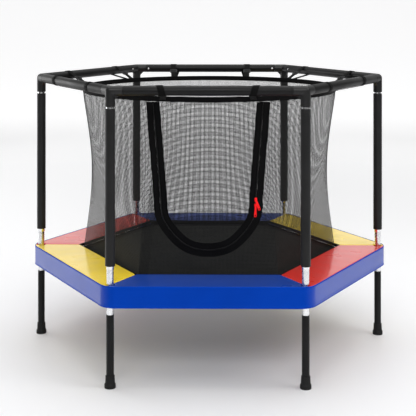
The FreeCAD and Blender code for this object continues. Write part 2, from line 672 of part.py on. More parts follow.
frontAngle, sideLength = sideAngles["front"], num("sideLength")
thin = netPanel(frontAngle, num("netThickness"))
thick = netPanel(frontAngle, num("bandThickness"))
thickest = netPanel(frontAngle, num("bandThickness + 2 * chainRise"))
chain, tape, zipGap = num("chainHalf"), num("tapeHalf"), num("zipGap")
doorInside, doorChain, doorOutside = doorBlock(-tape), doorBlock(-chain), doorBlock(chain)
tapeInside, tapeOutside = doorBlock(chain + zipGap), doorBlock(tape)
aboveDoor = Part.makeBox(sideLength, sideLength, zipGap * 2, Vector(-sideLength / 2, -sideLength, num("doorTop")))
flap = thin.common(doorInside).cut(aboveDoor)
flapTape = thick.common(doorOutside.cut(doorInside)).cut(aboveDoor)
zipChain = thickest.common(doorOutside.cut(doorChain)).cut(aboveDoor)
besideTape = thick.common(tapeOutside.cut(tapeInside))
besideNet = thin.cut(tapeOutside)
for label, shape in (
    ("door_flap", flap.fuse([flapTape, zipChain]).removeSplitter()),
    ("net_front", besideNet.fuse(besideTape).removeSplitter()),
    ("net_panels", Part.makeCompound([netPanel(angle, num("netThickness"))
                                      for side, angle in sideAngles.items() if side != "front"])),
):
    feature = doc.addObject("Part::Feature", label + "_shape")
    feature.Shape = shape
    node(label, feature)


def beltFace(rail, railRadius, hoop, hoopEndRadius, railLines=5, hoopLines=3):
    """The outline of a belt round two circles in the XZ plane, each turn drawn as a few tangent lines."""
    between = hoop - rail
    heading = math.atan2(between.z, between.x)
    spread = math.acos((railRadius - hoopEndRadius) / between.Length)
    points = []
    for centre, radius, first, last, count in (
        (rail, railRadius, heading + spread, heading - spread + 2 * math.pi, railLines),
        (hoop, hoopEndRadius, heading - spread, heading + spread, hoopLines),
    ):
        step = (last - first) / count
        for i in range(count):
            turn = first + (i + 0.5) * step
            points.append(centre + Vector(math.cos(turn), 0, math.sin(turn)) * (radius / math.cos(step / 2)))
    return Part.Face(Part.makePolygon(points + points[:1]))


# Straps, each looped round an upper tube and down to the hoop, with a buckle on its upper run
strapWidth, strapThickness, seatGap = num("strapWidth"), num("strapThickness"), num("seatGap")
loopRadius, endRadius = num("topRailOuter / 2 + seatGap"), num("strapEndRadius")
hoopOutside = num(f"(hoopRadius + hoopThickness / 2) / cos({180 / hoopSides} deg)")
hoopFace = math.sqrt(hoopOutside ** 2 - num("strapOffset - strapWidth / 2") ** 2)
railCentre = Vector(num("apothem"), 0, num("topRailAxis"))
hoopCentre = Vector(hoopFace + seatGap + strapThickness + endRadius, 0, num("hoopLow + hoopHeight / 2"))
belt = beltFace(railCentre, loopRadius + strapThickness, hoopCentre, endRadius + strapThickness)
hollow = beltFace(railCentre, loopRadius, hoopCentre, endRadius)
strap = belt.cut(hollow).extrude(Vector(0, strapWidth, 0))
strap.translate(Vector(0, -strapWidth / 2, 0))

toRail = railCentre - hoopCentre
rise = math.asin((loopRadius - endRadius) / toRail.Length)
slope = math.degrees(math.atan2(toRail.z, toRail.x) + rise)
wall, length, width = num("buckleWall"), num("buckleHeight"), num("buckleWidth")
inner, depth = strapWidth + 2 * seatGap, strapThickness + 2 * seatGap
buckle = Part.makeBox(length, width, depth + 2 * wall, Vector(-length / 2, -width / 2, -depth / 2 - wall))
buckle = buckle.cut(Part.makeBox(length, inner, depth, Vector(-length / 2, -inner / 2, -depth / 2)))
buckle.translate(Vector(num("buckleReach"), 0, endRadius + strapThickness / 2))
buckle.rotate(Vector(), Vector(0, 1, 0), -slope)
buckle.translate(hoopCentre)

strapOffsets = (-num("strapOffset"), num("strapOffset"))
repeated("rail_straps", strap, strapOffsets)
repeated("strap_buckles", buckle, strapOffsets)

# The zip slider: a shield-shaped plate with an arch, its front towards -Y
shield = [("-sliderNose / 2", "-sliderLength / 2"), ("sliderNose / 2", "-sliderLength / 2"),
          ("sliderWidth / 2", "0"), ("sliderWidth / 2", "sliderShoulder"),
          ("sliderNose / 2", "sliderLength / 2"), ("-sliderNose / 2", "sliderLength / 2"),
          ("-sliderWidth / 2", "sliderShoulder"), ("-sliderWidth / 2", "0")]
plate = paddedBody("SliderPlate", shield, "sliderThickness", y="-seatGap")
pinY = "-(seatGap + sliderThickness + pinHeight)"
arch = cut("Arch", rod("ArchOutside", "archOuter", "archWidth", sidewards, 8, x="-archWidth / 2", y=pinY),
           rod("ArchInside", "archInner", "archWidth", sidewards, 8, x="-archWidth / 2", y=pinY))
slider = fused("Slider", plate, arch)

# The pull: a forked tab with a cross bar at its axis and a hole near its end
tab = [("-pullNeck / 2", "pullEar"), ("-pullFork / 2", "pullEar"), ("-pullFork / 2", "-forkDepth"),
       ("pullFork / 2", "-forkDepth"), ("pullFork / 2", "pullEar"), ("pullNeck / 2", "pullEar"),
       ("pullWidth / 2", "-pullShoulder"), ("pullWidth / 2", "-(pullLength - pullHole)"),
       ("pullWidth / 2 - pullHole", "-pullLength"), ("-(pullWidth / 2 - pullHole)", "-pullLength"),
       ("-pullWidth / 2", "-(pullLength - pullHole)"), ("-pullWidth / 2", "-pullShoulder")]
plate = paddedBody("PullTab", tab, "pullThickness", y="pullThickness / 2")
bar = rod("PullBar", "pullPin", "pullNeck", sidewards, 6, x="-pullNeck / 2")
eye = rod("PullEye", "pullHole", "pullThickness * 2", Rotation(Vector(1, 0, 0), 90), 8,
          y="pullThickness", z="-(pullLength - pullHoleEdge - pullHole)")
pull = cut("Pull", fused("PullWhole", plate, bar), eye)
doc.recompute()


def zipAcross(z):
    """How far the right arm of the zip line stands from the middle at a height."""
    turn, low, turnHalf = num("doorTurn"), num("doorLow"), num("doorTurnHalf")
    if z >= turn:
        return turnHalf + (num("doorTopHalf") - turnHalf) * (z - turn) / (num("netTop") - turn)
    power = num("doorRoundness")
    return turnHalf * (1 - ((turn - z) / (turn - low)) ** power) ** (1 / power)


def chainFront(x, z):
    """The point on the front of the zip chain, or of its plane, at a place across and up."""
    ray = Part.makeLine(Vector(x, -beforeNet, z), Vector(x, 0, z))
    return min((vertex.Point for vertex in ray.common(thickest).Vertexes), key=lambda point: point.y)


# Two sliders on the right arm of the zip, each with its pull; the upper pull hangs aside
for name, height, skew in (("upper", num("sliderHeight"), num("upperPullSkew")),
                           ("lower", num("sliderHeight - sliderSpacing"), 0)):
    reach = num("sliderLength") / 2
    middle = zipAcross(height)
    above, below = height + reach, height - reach
    rise = chainFront(zipAcross(above), above) - chainFront(zipAcross(below), below)
    sideways = chainFront(middle + reach / 2, height) - chainFront(middle - reach / 2, height)
    seat = Placement(chainFront(middle, height), Rotation(sideways, rise.cross(sideways), rise, "ZXY"))
    axis = seat.multiply(Placement(Vector(0, num(pinY), 0), Rotation(Vector(0, 1, 0), -skew)))
    for label, shape, place in ((f"zip_slider_{name}", slider.Shape, seat),
                                (f"zip_pull_{name}", pull.Shape, axis)):
        feature = doc.addObject("Part::Feature", label + "_copy")
        feature.Shape = shape
        feature.Placement = place
        node(label, feature)

doc.recompute()

for thing in doc.Objects:
    bad = [state for state in thing.State if state in ("Invalid", "Error")]
    if bad:
        raise RuntimeError(f"{thing.Name} is {bad}")
os.makedirs("parts", exist_ok=True)
for label, thing in nodes.items():
    shape = thing.Shape
    if shape.isNull() or not shape.isValid():
        raise RuntimeError(f"{label} has no valid shape")
    shape.exportStep(f"parts/{label}.step")
    print(label, len(shape.Solids), round(shape.Volume / 1000, 2))
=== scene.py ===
import json
import math
from types import SimpleNamespace as Sizes

import bmesh
import bpy
import numpy as np
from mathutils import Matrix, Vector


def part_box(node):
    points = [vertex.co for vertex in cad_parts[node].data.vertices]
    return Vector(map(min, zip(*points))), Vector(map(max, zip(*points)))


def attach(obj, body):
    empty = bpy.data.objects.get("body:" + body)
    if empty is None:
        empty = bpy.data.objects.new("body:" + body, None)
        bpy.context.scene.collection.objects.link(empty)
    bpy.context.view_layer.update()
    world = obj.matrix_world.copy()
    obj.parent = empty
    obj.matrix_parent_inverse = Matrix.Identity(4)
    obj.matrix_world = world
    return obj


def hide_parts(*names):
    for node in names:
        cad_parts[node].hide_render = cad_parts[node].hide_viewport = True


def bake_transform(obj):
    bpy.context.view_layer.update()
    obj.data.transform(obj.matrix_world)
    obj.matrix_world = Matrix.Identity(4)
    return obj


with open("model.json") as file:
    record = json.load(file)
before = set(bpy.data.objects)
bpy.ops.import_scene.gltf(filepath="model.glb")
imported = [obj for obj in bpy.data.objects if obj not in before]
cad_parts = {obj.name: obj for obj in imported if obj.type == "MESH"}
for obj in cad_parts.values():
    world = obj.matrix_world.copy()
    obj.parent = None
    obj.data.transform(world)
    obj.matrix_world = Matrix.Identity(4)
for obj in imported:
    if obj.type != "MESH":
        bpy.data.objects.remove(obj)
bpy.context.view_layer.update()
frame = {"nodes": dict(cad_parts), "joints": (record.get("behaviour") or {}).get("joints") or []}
print("frame loaded:", len(frame["nodes"]), "pieces")

# A six-sided children's trampoline with a net enclosure, in metres, the zipped door facing -Y.
# Most heights come from the frame's own boxes; the other sizes stand before the code that uses them.

corners = {"right": 0, "back_right": 60, "back_left": 120, "left": 180, "front_left": 240, "front_right": 300}
sides = {"right_back": 30, "back": 90, "left_back": 150, "left_front": 210, "front": 270, "right_front": 330}
mm = 0.001
pi = math.pi
tan30, cos30 = math.tan(math.radians(30)), math.cos(math.radians(30))


def span(node):
    low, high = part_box(node)
    return float(low[2]), float(high[2])


legLow, legHigh = span("leg_right")
uprightLow, uprightHigh = span("upright_right")
sleeveLow = span("foam_sleeves")[0]
padHigh = span("pad_front")[1]
matLow, matHigh = span("jumping_mat")
hoopLow, hoopHigh = span("net_hoop")
skirtLow, skirtHigh = span("pad_skirt")
postAxis = sum(float(end[0]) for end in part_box("leg_right")) / 2
apothem = postAxis * cos30
railZ = 1063.5 * mm
baseZ = sum(span("base_rail_back")) / 2
print("post axis", round(postAxis, 4), "rails at", round(railZ, 4), round(baseZ, 4))


# Points, grids and meshes

def columns(*parts):
    # Values broadcast together, each one a column of the last axis
    return np.stack(np.broadcast_arrays(*parts), -1)


def circle(count):
    return np.linspace(0, 2 * pi, count, endpoint=False)


def unit(vectors):
    return vectors / np.maximum(np.linalg.norm(vectors, axis=-1, keepdims=True), 1e-12)


def walked(points):
    # How far each point of a row lies from the first, along the row
    return np.concatenate([[0], np.cumsum(np.linalg.norm(np.diff(points, axis=0), axis=1))])


def rounded(points, reach, steps, closed=True):
    # Each corner c of an outline becomes the curve (1-t)^2 a + 2t(1-t) c + t^2 b,
    # where a and b lie on its two edges, a reach away from it
    p = np.array(points, float)

    def toward(q):
        gap = q - p
        length = np.linalg.norm(gap, axis=1, keepdims=True)
        return p + gap * np.minimum(reach / np.maximum(length, 1e-9), 0.5)

    a, b = toward(np.roll(p, 1, 0)), toward(np.roll(p, -1, 0))
    t = np.linspace(0, 1, steps + 1)[None, :, None]
    curve = (1 - t) ** 2 * a[:, None] + 2 * t * (1 - t) * p[:, None] + t ** 2 * b[:, None]
    if closed:
        return curve.reshape(-1, p.shape[1])
    return np.vstack([p[:1], curve[1:-1].reshape(-1, p.shape[1]), p[-1:]])


def box(left, low, right, high, corner, steps):
    return rounded([(left, low), (right, low), (right, high), (left, high)], corner, steps)


def centredBox(x, y, corner, steps=5):
    return box(-x, -y, x, y, corner, steps)


def grid(points, wrapRows=False, wrapColumns=False, uv=None):
    # A surface through points[row, column]; a wrap joins the last row or column to the first
    rows, count = points.shape[:2]
    index = np.arange(rows * count).reshape(rows, count)
    if wrapRows:
        index = np.vstack([index, index[:1]])
    if wrapColumns:
        index = np.hstack([index, index[:, :1]])

    def cells(values):
        return np.stack([values[:-1, :-1], values[1:, :-1], values[1:, 1:], values[:-1, 1:]], 2)

    faces = cells(index).reshape(-1, 4)
    return points.reshape(-1, 3), faces, None if uv is None else cells(uv).reshape(-1, 4, 2)


def lathe(profile, sides, closed=True):
    # A profile of (radius, height) rows turned about Z: (r cos a, r sin a, h)
    a = circle(sides)
    r, h = np.array(profile, float).T[:, :, None]
    return grid(columns(r * np.cos(a), r * np.sin(a), h), wrapRows=closed, wrapColumns=True)


def tubeProfile(outer, inner, low, high, edge=0.4 * mm):
    # The closed section of a pipe wall with softened rims
    return rounded([(outer, low), (outer, high), (inner, high), (inner, low)], edge, 3)


def plug(radius, start, end, edge=1.0 * mm, steps=3, sides=64):
    profile = [(0, start), (radius, start), (radius, end), (0, end)]
    return lathe(rounded(profile, edge, steps, closed=False), sides, closed=False)


def moved(patch, shift=(0, 0, 0), turn=0.0, matrix=np.eye(3)):
    # A patch under a rotation matrix, then turned about Z, then shifted
    points, faces, uv = patch
    a = math.radians(turn)
    spin = np.array([[math.cos(a), -math.sin(a), 0], [math.sin(a), math.cos(a), 0], [0, 0, 1]])
    return points @ np.array(matrix, float).T @ spin.T + np.array(shift, float), faces, uv


def aroundZ(patch, turn):
    return moved(patch, turn=turn)


lying = [[1, 0, 0], [0, 0, 1], [0, -1, 0]]  # Z becomes Y
pointingOut = [[0, 0, 1], [0, 1, 0], [-1, 0, 0]]  # Z becomes X
pointingIn = [[0, 0, -1], [0, 1, 0], [1, 0, 0]]  # Z becomes -X


def rings(path, first, second, radius, sides):
    # A circle round each point of a path: path + radius (cos a first + sin a second)
    a = circle(sides)[None, :, None]
    return path[:, None] + radius * (np.cos(a) * first[:, None] + np.sin(a) * second[:, None])


def sweep(path, normal, radius, sides, closed=False):
    # A round wire along a path, its circles started at the given normal made square to the tangent
    if closed:
        tangent = np.roll(path, -1, 0) - np.roll(path, 1, 0)
    else:
        tangent = np.gradient(path, axis=0)
    tangent = unit(tangent)
    side = unit(normal - (normal * tangent).sum(1, keepdims=True) * tangent)
    ring = rings(path, side, np.cross(tangent, side), radius, sides)
    if not closed:
        first, last = (np.repeat(end[None, None], sides, 1) for end in (path[0], path[-1]))
        ring = np.concatenate([first, ring, last])
    return grid(ring, wrapRows=closed, wrapColumns=True)


def meshOf(name, patches):
    starts = np.cumsum([0] + [len(p[0]) for p in patches[:-1]])
    points = np.vstack([p[0] for p in patches])
    faces = np.vstack([p[1] + start for p, start in zip(patches, starts)])
    mesh = bpy.data.meshes.new(name)
    mesh.vertices.add(len(points))
    mesh.vertices.foreach_set("co", points.astype(np.float32).ravel())
    mesh.loops.add(faces.size)
    mesh.loops.foreach_set("vertex_index", faces.astype(np.int32).ravel())
    mesh.polygons.add(len(faces))
    mesh.polygons.foreach_set("loop_start", np.arange(0, faces.size, 4, dtype=np.int32))
    if all(p[2] is not None for p in patches):
        layer = mesh.uv_layers.new(name="weave")
        layer.data.foreach_set("uv", np.vstack([p[2] for p in patches]).astype(np.float32).ravel())
    mesh.update(calc_edges=True)
    return mesh


def smoothed(mesh):
    mesh.polygons.foreach_set("use_smooth", np.ones(len(mesh.polygons), bool))
    return mesh


def joined(mesh, sharp=38, merge=True):
    # Joins doubled points, turns faces outwards and keeps real edges crisp
    if merge:
        work = bmesh.new()
        work.from_mesh(mesh)
        bmesh.ops.remove_doubles(work, verts=work.verts, dist=0.004 * mm)
        bmesh.ops.dissolve_degenerate(work, edges=work.edges, dist=0.002 * mm)
        bmesh.ops.recalc_face_normals(work, faces=work.faces)
        work.to_mesh(mesh)
        work.free()
    smoothed(mesh).set_sharp_from_angle(angle=math.radians(sharp))
    return mesh


def placed(name, data):
    made = bpy.data.objects.new(name, data)
    bpy.context.scene.collection.objects.link(made)
    return made


def fitted(name, mesh, look, body="frame", stands=()):
    made = placed(name, mesh)
    mesh.materials.append(finish[look])
    if body:
        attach(made, body)
    if stands:
        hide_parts(*stands)
    return made


def piece(name, patches, look, body="frame", sharp=38, merge=True, stands=()):
    return fitted(name, joined(meshOf(name, patches), sharp, merge), look, body, stands)


# Materials

class Value:
    # A shader socket that takes Python's arithmetic; every operator adds a Math node
    def __init__(self, paint, socket):
        self.paint = paint
        self.socket = socket

    def math(self, operation, *others):
        return self.paint.node("Math", {"operation": operation}, dict(enumerate((self, *others))))

    def __add__(self, other):
        return self.math("ADD", other)

    def __sub__(self, other):
        return self.math("SUBTRACT", other)

    def __mul__(self, other):
        return self.math("MULTIPLY", other)

    def __rsub__(self, other):
        return self.paint.node("Math", {"operation": "SUBTRACT"}, {0: other, 1: self})

    def clamped(self):
        return self.math("MAXIMUM", 0.0).math("MINIMUM", 1.0)


class Paint:
    # One material round a Principled shader
    def __init__(self, name, colour, roughness, **fixed):
        self.material = bpy.data.materials.new(name)
        self.material.use_nodes = True
        self.tree = self.material.node_tree
        self.shader = self.tree.nodes["Principled BSDF"]
        self.set({"Base Color": (*colour, 1.0), "Roughness": roughness, **fixed})

    def set(self, inputs):
        for name, value in inputs.items():
            self.feed(self.shader.inputs[name], value)
        return self.material

    def feed(self, socket, value):
        if isinstance(value, Value):
            self.tree.links.new(value.socket, socket)
        else:
            socket.default_value = value

    def node(self, kind, settings=None, inputs=None, output=0):
        made = self.tree.nodes.new("ShaderNode" + kind)
        for name, value in (settings or {}).items():
            setattr(made, name, value)
        for name, value in (inputs or {}).items():
            self.feed(made.inputs[name], value)
        return Value(self, made.outputs[output])

    def place(self):
        return self.node("TexCoord", output="Object")

    def parts(self, vector):
        split = self.tree.nodes.new("ShaderNodeSeparateXYZ")
        self.feed(split.inputs[0], vector)
        return [Value(self, output) for output in split.outputs]

    def noise(self, scale, detail, stretch=None):
        vector = self.place()
        if stretch:
            vector = self.node("VectorMath", {"operation": "MULTIPLY"}, {0: vector, 1: stretch})
        return self.node("TexNoise", {}, {"Vector": vector, "Scale": scale, "Detail": detail})

    def cells(self, scale, output=0):
        return self.node("TexVoronoi", {"feature": "F1"}, {"Vector": self.place(), "Scale": scale}, output)

    def between(self, value, low, high, fromLow=0.35, fromHigh=0.65, kind="LINEAR"):
        return self.node("MapRange", {"interpolation_type": kind}, {
            "Value": value, "From Min": fromLow, "From Max": fromHigh, "To Min": low, "To Max": high})

    def past(self, value, edge, before=0, after=1):
        # A step from before to after over one millimetre
        return self.between(value, before, after, edge - 0.5 * mm, edge + 0.5 * mm)

    def hexDistance(self):
        # How far a point lies from the axis toward the nearest of the six sides
        x, y = self.parts(self.place())[:2]
        reach = None
        for angle in (30, 90, 150):
            a = math.radians(angle)
            toward = (x * math.cos(a) + y * math.sin(a)).math("ABSOLUTE")
            reach = toward if reach is None else reach.math("MAXIMUM", toward)
        return reach

    def mixed(self, factor, first, second):
        made = self.tree.nodes.new("ShaderNodeMix")
        made.data_type = "RGBA"
        for index, value in ((0, factor), (6, first), (7, second)):
            self.feed(made.inputs[index], (*value, 1.0) if isinstance(value, tuple) else value)
        return Value(self, made.outputs[2])

    def bump(self, height, distance, strength, normal=None):
        inputs = {"Height": height, "Distance": distance, "Strength": strength}
        if normal:
            inputs["Normal"] = normal
        return self.node("Bump", {}, inputs)


def lighter(colour, times, more=0.0):
    return tuple(c * times + more for c in colour)


def paintedSteel(name, colour, roughness):
    # Powder-coated steel: orange peel, and a finish that is duller where hands and straps rub it
    paint = Paint(name, colour, roughness, IOR=1.3)
    peel = paint.noise(900, 2)
    rub = paint.noise(7, 4, (1, 1, 2.2))
    return paint.set({
        "Roughness": paint.between(rub, roughness - 0.04, roughness + 0.09),
        "Base Color": paint.mixed(paint.between(paint.noise(38, 5), 0, 1, 0.3, 0.75), colour,
                                  lighter(colour, 1.25, 0.0005)),
        "Normal": paint.bump(peel, 0.00006, 0.6),
    })


def galvanised(name, roughness):
    # Bright zinc: faint crystal patches and drawing marks along the tube
    paint = Paint(name, colours["zinc"], roughness, Metallic=1.0)
    spangle = paint.cells(190.0, "Color")
    drawn = paint.noise(160, 3, (6, 6, 0.25))
    shade = paint.parts(spangle)[0]
    dull, bright = colours["zincDull"], colours["zincBright"]
    return paint.set({
        "Base Color": paint.mixed(paint.between(shade, 0, 1, 0, 1), dull, bright),
        "Roughness": paint.between(shade * 0.5 + drawn * 0.5, roughness - 0.05, roughness + 0.08),
        "Normal": paint.bump(drawn, 0.00004, 0.5),
    })


def softBlack(name, colour, roughness, grain, depth, sheen=0.0, ior=1.3):
    # Foam skin, rubber or moulded plastic: a fine even grain and a slow change in gloss
    paint = Paint(name, colour, roughness, **{"Sheen Weight": sheen, "Sheen Roughness": 0.5, "IOR": ior})
    fine = paint.noise(grain, 3)
    slow = paint.noise(11, 3)
    return paint.set({
        "Base Color": paint.mixed(paint.between(slow, 0, 1), colour, lighter(colour, 1.35, 0.0005)),
        "Roughness": paint.between(slow, roughness - 0.04, roughness + 0.06),
        "Normal": paint.bump(fine, depth, 0.7),
    })


def vinyl(name, colour, roughness=0.3, hems=None):
    # Coated fabric: pebble grain, slow creases, and a film that shines only at a glancing view.
    # Hems are two heights beyond which a plain woven edging shows no film
    paint = Paint(name, colour, roughness, **{"Coat Roughness": 0.16, "IOR": 1.1})
    glance = paint.node("LayerWeight", {}, {"Blend": 0.5}, "Facing")
    film = paint.between(glance, 0, 1, 0.1, 0.6)
    if hems:
        height = paint.parts(paint.place())[2]
        film = film * paint.past(height, hems[0])
        film = film * paint.past(height, hems[1], 1, 0)
    pebble = paint.cells(1100.0)
    scrim = paint.noise(260, 2)
    slow = paint.noise(5, 3)
    relief = paint.bump(pebble, 0.00005, 0.35)
    faded = paint.between(slow + scrim * 0.2 - 0.1, 0, 1)
    return paint.set({
        "Base Color": paint.mixed(faded, colour, lighter(colour, 0.90)),
        "Roughness": paint.between(slow, roughness - 0.03, roughness + 0.05),
        "Coat Weight": film,
        "Normal": paint.bump(slow, 0.0011, 0.5, relief),
    })


def woven(name, colour, pitch, depth, contrast, along=False, border=None):
    # Two sets of threads that pass over and under each other, one cell of the pattern being pitch wide;
    # beyond the border's distance a darker webbing is sewn on
    paint = Paint(name, colour, 0.6, **{"Sheen Weight": 0.03, "Sheen Roughness": 0.4, "IOR": 1.09})
    x, y = paint.parts(paint.node("UVMap", {"uv_map": "weave"}) if along else paint.place())[:2]
    turn = pi / pitch
    warp = (x * turn).math("SINE").math("ABSOLUTE")
    weft = (y * turn).math("SINE").math("ABSOLUTE")
    over = ((x * turn).math("SINE") * (y * turn).math("SINE")).math("SIGN") * 0.5 + 0.5
    height = over * warp + (1 - over) * weft
    wear = paint.between(paint.noise(9, 4), 0, 0.35)
    # Painted shade: the colour is lighter on the thread crowns and darker in the hollows between the threads,
    # plus random wear
    shade = paint.mixed((height * 0.65 + wear).clamped(), colour, lighter(colour, 1 + contrast, 0.002))
    if border:
        shade = paint.mixed(paint.past(paint.hexDistance(), border), shade, colours["webbing"])
    return paint.set({
        "Base Color": shade,
        "Roughness": paint.between(height, 0.72, 0.52, 0, 1),
        "Normal": paint.bump(height, depth, 0.8),
    })


colours = {
    "black": (0.0045, 0.0045, 0.0047),
    "zinc": (0.86, 0.87, 0.88), "zincDull": (0.80, 0.81, 0.83), "zincBright": (0.93, 0.935, 0.94),
    "blue": (0.0013, 0.050, 0.36), "skirtBlue": (0.0008, 0.050, 0.44),
    "red": (0.68, 0.022, 0.012), "yellow": (0.95, 0.68, 0.02), "zipRed": (1.0, 0.011, 0.013),
    "rubber": (0.009, 0.009, 0.009), "foam": (0.0105, 0.0105, 0.0108), "buckle": (0.02, 0.02, 0.021),
    "mat": (0.0080, 0.0082, 0.0070), "webbing": (0.0030, 0.0030, 0.0032), "hoop": (0.0035, 0.0035, 0.0037),
    "tape": (0.0028, 0.0028, 0.0030), "strap": (0.0032, 0.0032, 0.0032), "thread": (0.006, 0.006, 0.006),
    "coil": (0.007, 0.007, 0.0073),
}
matSheetEdge = 442 * mm
skirtHems = (skirtLow + 5.5 * mm, skirtHigh - 5 * mm)
finish = {
    "leg": paintedSteel("blackLegPaint", colours["black"], 0.34),
    "rail": paintedSteel("blackRailPaint", colours["black"], 0.40),
    "zinc": galvanised("brightZinc", 0.2),
    "zincJoint": galvanised("weldedZinc", 0.24),
    "ring": galvanised("ringZinc", 0.28),
    "spring": galvanised("springZinc", 0.3),
    "screw": galvanised("screwSteel", 0.22),
    "connector": softBlack("connectorPlastic", colours["black"], 0.42, 700, 0.00007, ior=1.42),
    "rubber": softBlack("footRubber", colours["rubber"], 0.6, 420, 0.0001),
    "foam": softBlack("sleeveFoam", colours["foam"], 0.42, 520, 0.00012, 0.03),
    "blue": vinyl("blueVinyl", colours["blue"]),
    "red": vinyl("redVinyl", colours["red"]),
    "yellow": vinyl("yellowVinyl", colours["yellow"]),
    "skirt": vinyl("skirtVinyl", colours["skirtBlue"], 0.32, skirtHems),
    "mat": woven("matWeave", colours["mat"], 2.6 * mm, 0.00035, 0.8, border=matSheetEdge),
    "border": woven("borderWebbing", colours["webbing"], 1.9 * mm, 0.0003, 0.5),
    "net": softBlack("netThread", colours["thread"], 0.62, 2600, 0.00002),
    "hoop": woven("hoopWebbing", colours["hoop"], 1.5 * mm, 0.0002, 0.6, along=True),
    "tape": woven("doorTape", colours["tape"], 1.3 * mm, 0.00018, 0.6, along=True),
    "strap": woven("strapWebbing", colours["strap"], 2.0 * mm, 0.0003, 0.7, along=True),
    "buckle": softBlack("bucklePlastic", colours["buckle"], 0.32, 900, 0.00004),
    "zipRed": softBlack("zipRed", colours["zipRed"], 0.34, 900, 0.00003),
    "chain": softBlack("zipCoil", colours["coil"], 0.34, 900, 0.00002),
}
print("materials:", len(finish))

# Legs, feet, corner joints, uprights and their sleeves

post = Sizes(
    pole=13.95 * mm, poleWall=1.1 * mm, stub=12.7 * mm, stubWall=1.5 * mm, stubInsert=70 * mm,
    socket=14.05 * mm, socketBore=12.65 * mm, socketLength=62 * mm, bead=1.5 * mm, beadOut=0.4 * mm,
    beadAhead=0.6 * mm, ripple=0.25 * mm, ripples=26, play=0.15 * mm, rim=0.5 * mm, sleeve=18 * mm,
    sleeveTop=999.5 * mm, foamRim=2.2 * mm, foamEnd=6 * mm, foamRows=40, swell=0.010, swells=31)
foot = Sizes(
    flare=20.6 * mm, waist=17.6 * mm, top=16.4 * mm, height=45 * mm, flareHeight=13 * mm,
    waistHeight=18 * mm, floor=6 * mm, edge=1.6 * mm, groove=0.8 * mm, grooveEnd=9 * mm,
    treadStart=9.6 * mm)


def atPost(patch, angle):
    return aroundZ(moved(patch, (postAxis, 0, 0)), angle)


def pole(outer, wall, low, high):
    return lathe(tubeProfile(outer, outer - wall, low, high, post.rim), 64)


def sideSocket(turn):
    # The welded socket for a lower rail, its root inside the stub, with a low weld bead at its foot
    root = post.stub * 0.6
    wall = lathe(tubeProfile(post.socket, post.socketBore, root, post.socketLength), 56)
    swing = circle(72)
    radius = post.socket + post.beadOut
    y, z = radius * np.cos(swing), radius * np.sin(swing)
    x = np.sqrt(np.maximum(post.stub ** 2 - y ** 2, 0)) + post.beadAhead
    thickness = post.bead + post.ripple * np.sin(swing * post.ripples)
    path = columns(x, y, z)
    middle = np.broadcast_to([1.0, 0, 0], path.shape)
    bead = rings(path, middle, unit(columns(0, y, z)), thickness[:, None, None], 8)
    bead = grid(bead, wrapRows=True, wrapColumns=True)
    return [moved(p, (0, 0, baseZ), turn) for p in (moved(wall, matrix=pointingOut), bead)]


def footShell():
    # Flared outside, a bore for the leg, a tread groove under the floor
    bore, flare = post.pole + post.play, foot.flare
    outside = [(0, foot.groove), (foot.grooveEnd, foot.groove), (foot.treadStart, 0),
               (flare - 1 * mm, 0), (flare, 1 * mm), (flare, foot.flareHeight),
               (foot.waist, foot.waistHeight), (foot.top, foot.height), (bore, foot.height),
               (bore, foot.floor), (0, foot.floor)]
    return lathe(rounded(outside, foot.edge, 4, closed=False), 64, closed=False)


def foamSleeve():
    # A straight foam tube, its ends rounded, its girth a little uneven
    high, r, inside = post.sleeveTop, post.sleeve, post.pole + post.play
    profile = rounded([(r, sleeveLow), (r, high), (inside, high), (inside, sleeveLow)], post.foamRim, 5)
    between = columns(r, np.linspace(sleeveLow + post.foamEnd, high - post.foamEnd, post.foamRows))
    points, faces, uv = lathe(np.vstack([profile[:6], between, profile[6:]]), 64)
    x, y, height = points.T
    outer = np.hypot(x, y) > r - 1e-5
    uneven = 0.5 + 0.5 * np.sin(height * post.swells + 2 * np.sin(np.arctan2(y, x)))
    points[:, :2] *= (1 - post.swell * uneven * outer)[:, None]
    return points, faces, uv


for corner, angle in corners.items():
    leg, upright = (atPost(pole(post.pole, post.poleWall, *ends), angle)
                    for ends in ((legLow, legHigh), (uprightLow, uprightHigh)))
    piece(f"legTube_{corner}", [leg], "leg", stands=(f"leg_{corner}",))
    piece(f"uprightTube_{corner}", [upright], "zinc", stands=(f"upright_{corner}",))
    stub = pole(post.stub, post.stubWall, legHigh - post.stubInsert, uprightLow + post.stubInsert)
    piece(f"cornerStub_{corner}", [atPost(p, angle) for p in (stub, *sideSocket(120), *sideSocket(240))],
          "zincJoint", stands=(f"corner_joint_{corner}",))
piece("rubberFeet", [atPost(footShell(), angle) for angle in corners.values()], "rubber",
      stands=("rubber_feet",))
piece("foamSleeves", [atPost(foamSleeve(), angle) for angle in corners.values()], "foam",
      stands=("foam_sleeves",))
print("posts done")

# Lower and upper rails, connectors and their screws

rail = Sizes(
    radius=18.2 * mm, wall=1.5 * mm, arm=46 * mm, gap=0.3 * mm, skirt=58 * mm, rim=0.7 * mm,
    base=12.5 * mm, baseWall=1.2 * mm, baseStop=20 * mm, gusset=22 * mm, gussetHalf=4.5 * mm,
    voxel=1.25 * mm, ease=0.5, easings=7)
screw = Sizes(
    distance=58 * mm, head=3.5 * mm, height=1.8 * mm, slot=0.55 * mm, slotReach=2.0 * mm,
    slotDepth=0.9 * mm, domeWidth=3.57 * mm, domeFall=0.96)


def alongSide(patch, height, angle):
    # A patch drawn about Z is laid along the side that faces +X, then turned to its own side
    return aroundZ(moved(patch, (apothem, 0, height), matrix=lying), angle)


def topRail():
    half = postAxis / 2 - rail.arm - rail.gap
    return lathe(tubeProfile(rail.radius, rail.radius - rail.wall, -half, half, rail.rim), 72)


def baseRail():
    half = postAxis / 2 - rail.baseStop
    return lathe(tubeProfile(rail.base, rail.base - rail.baseWall, -half, half), 48)


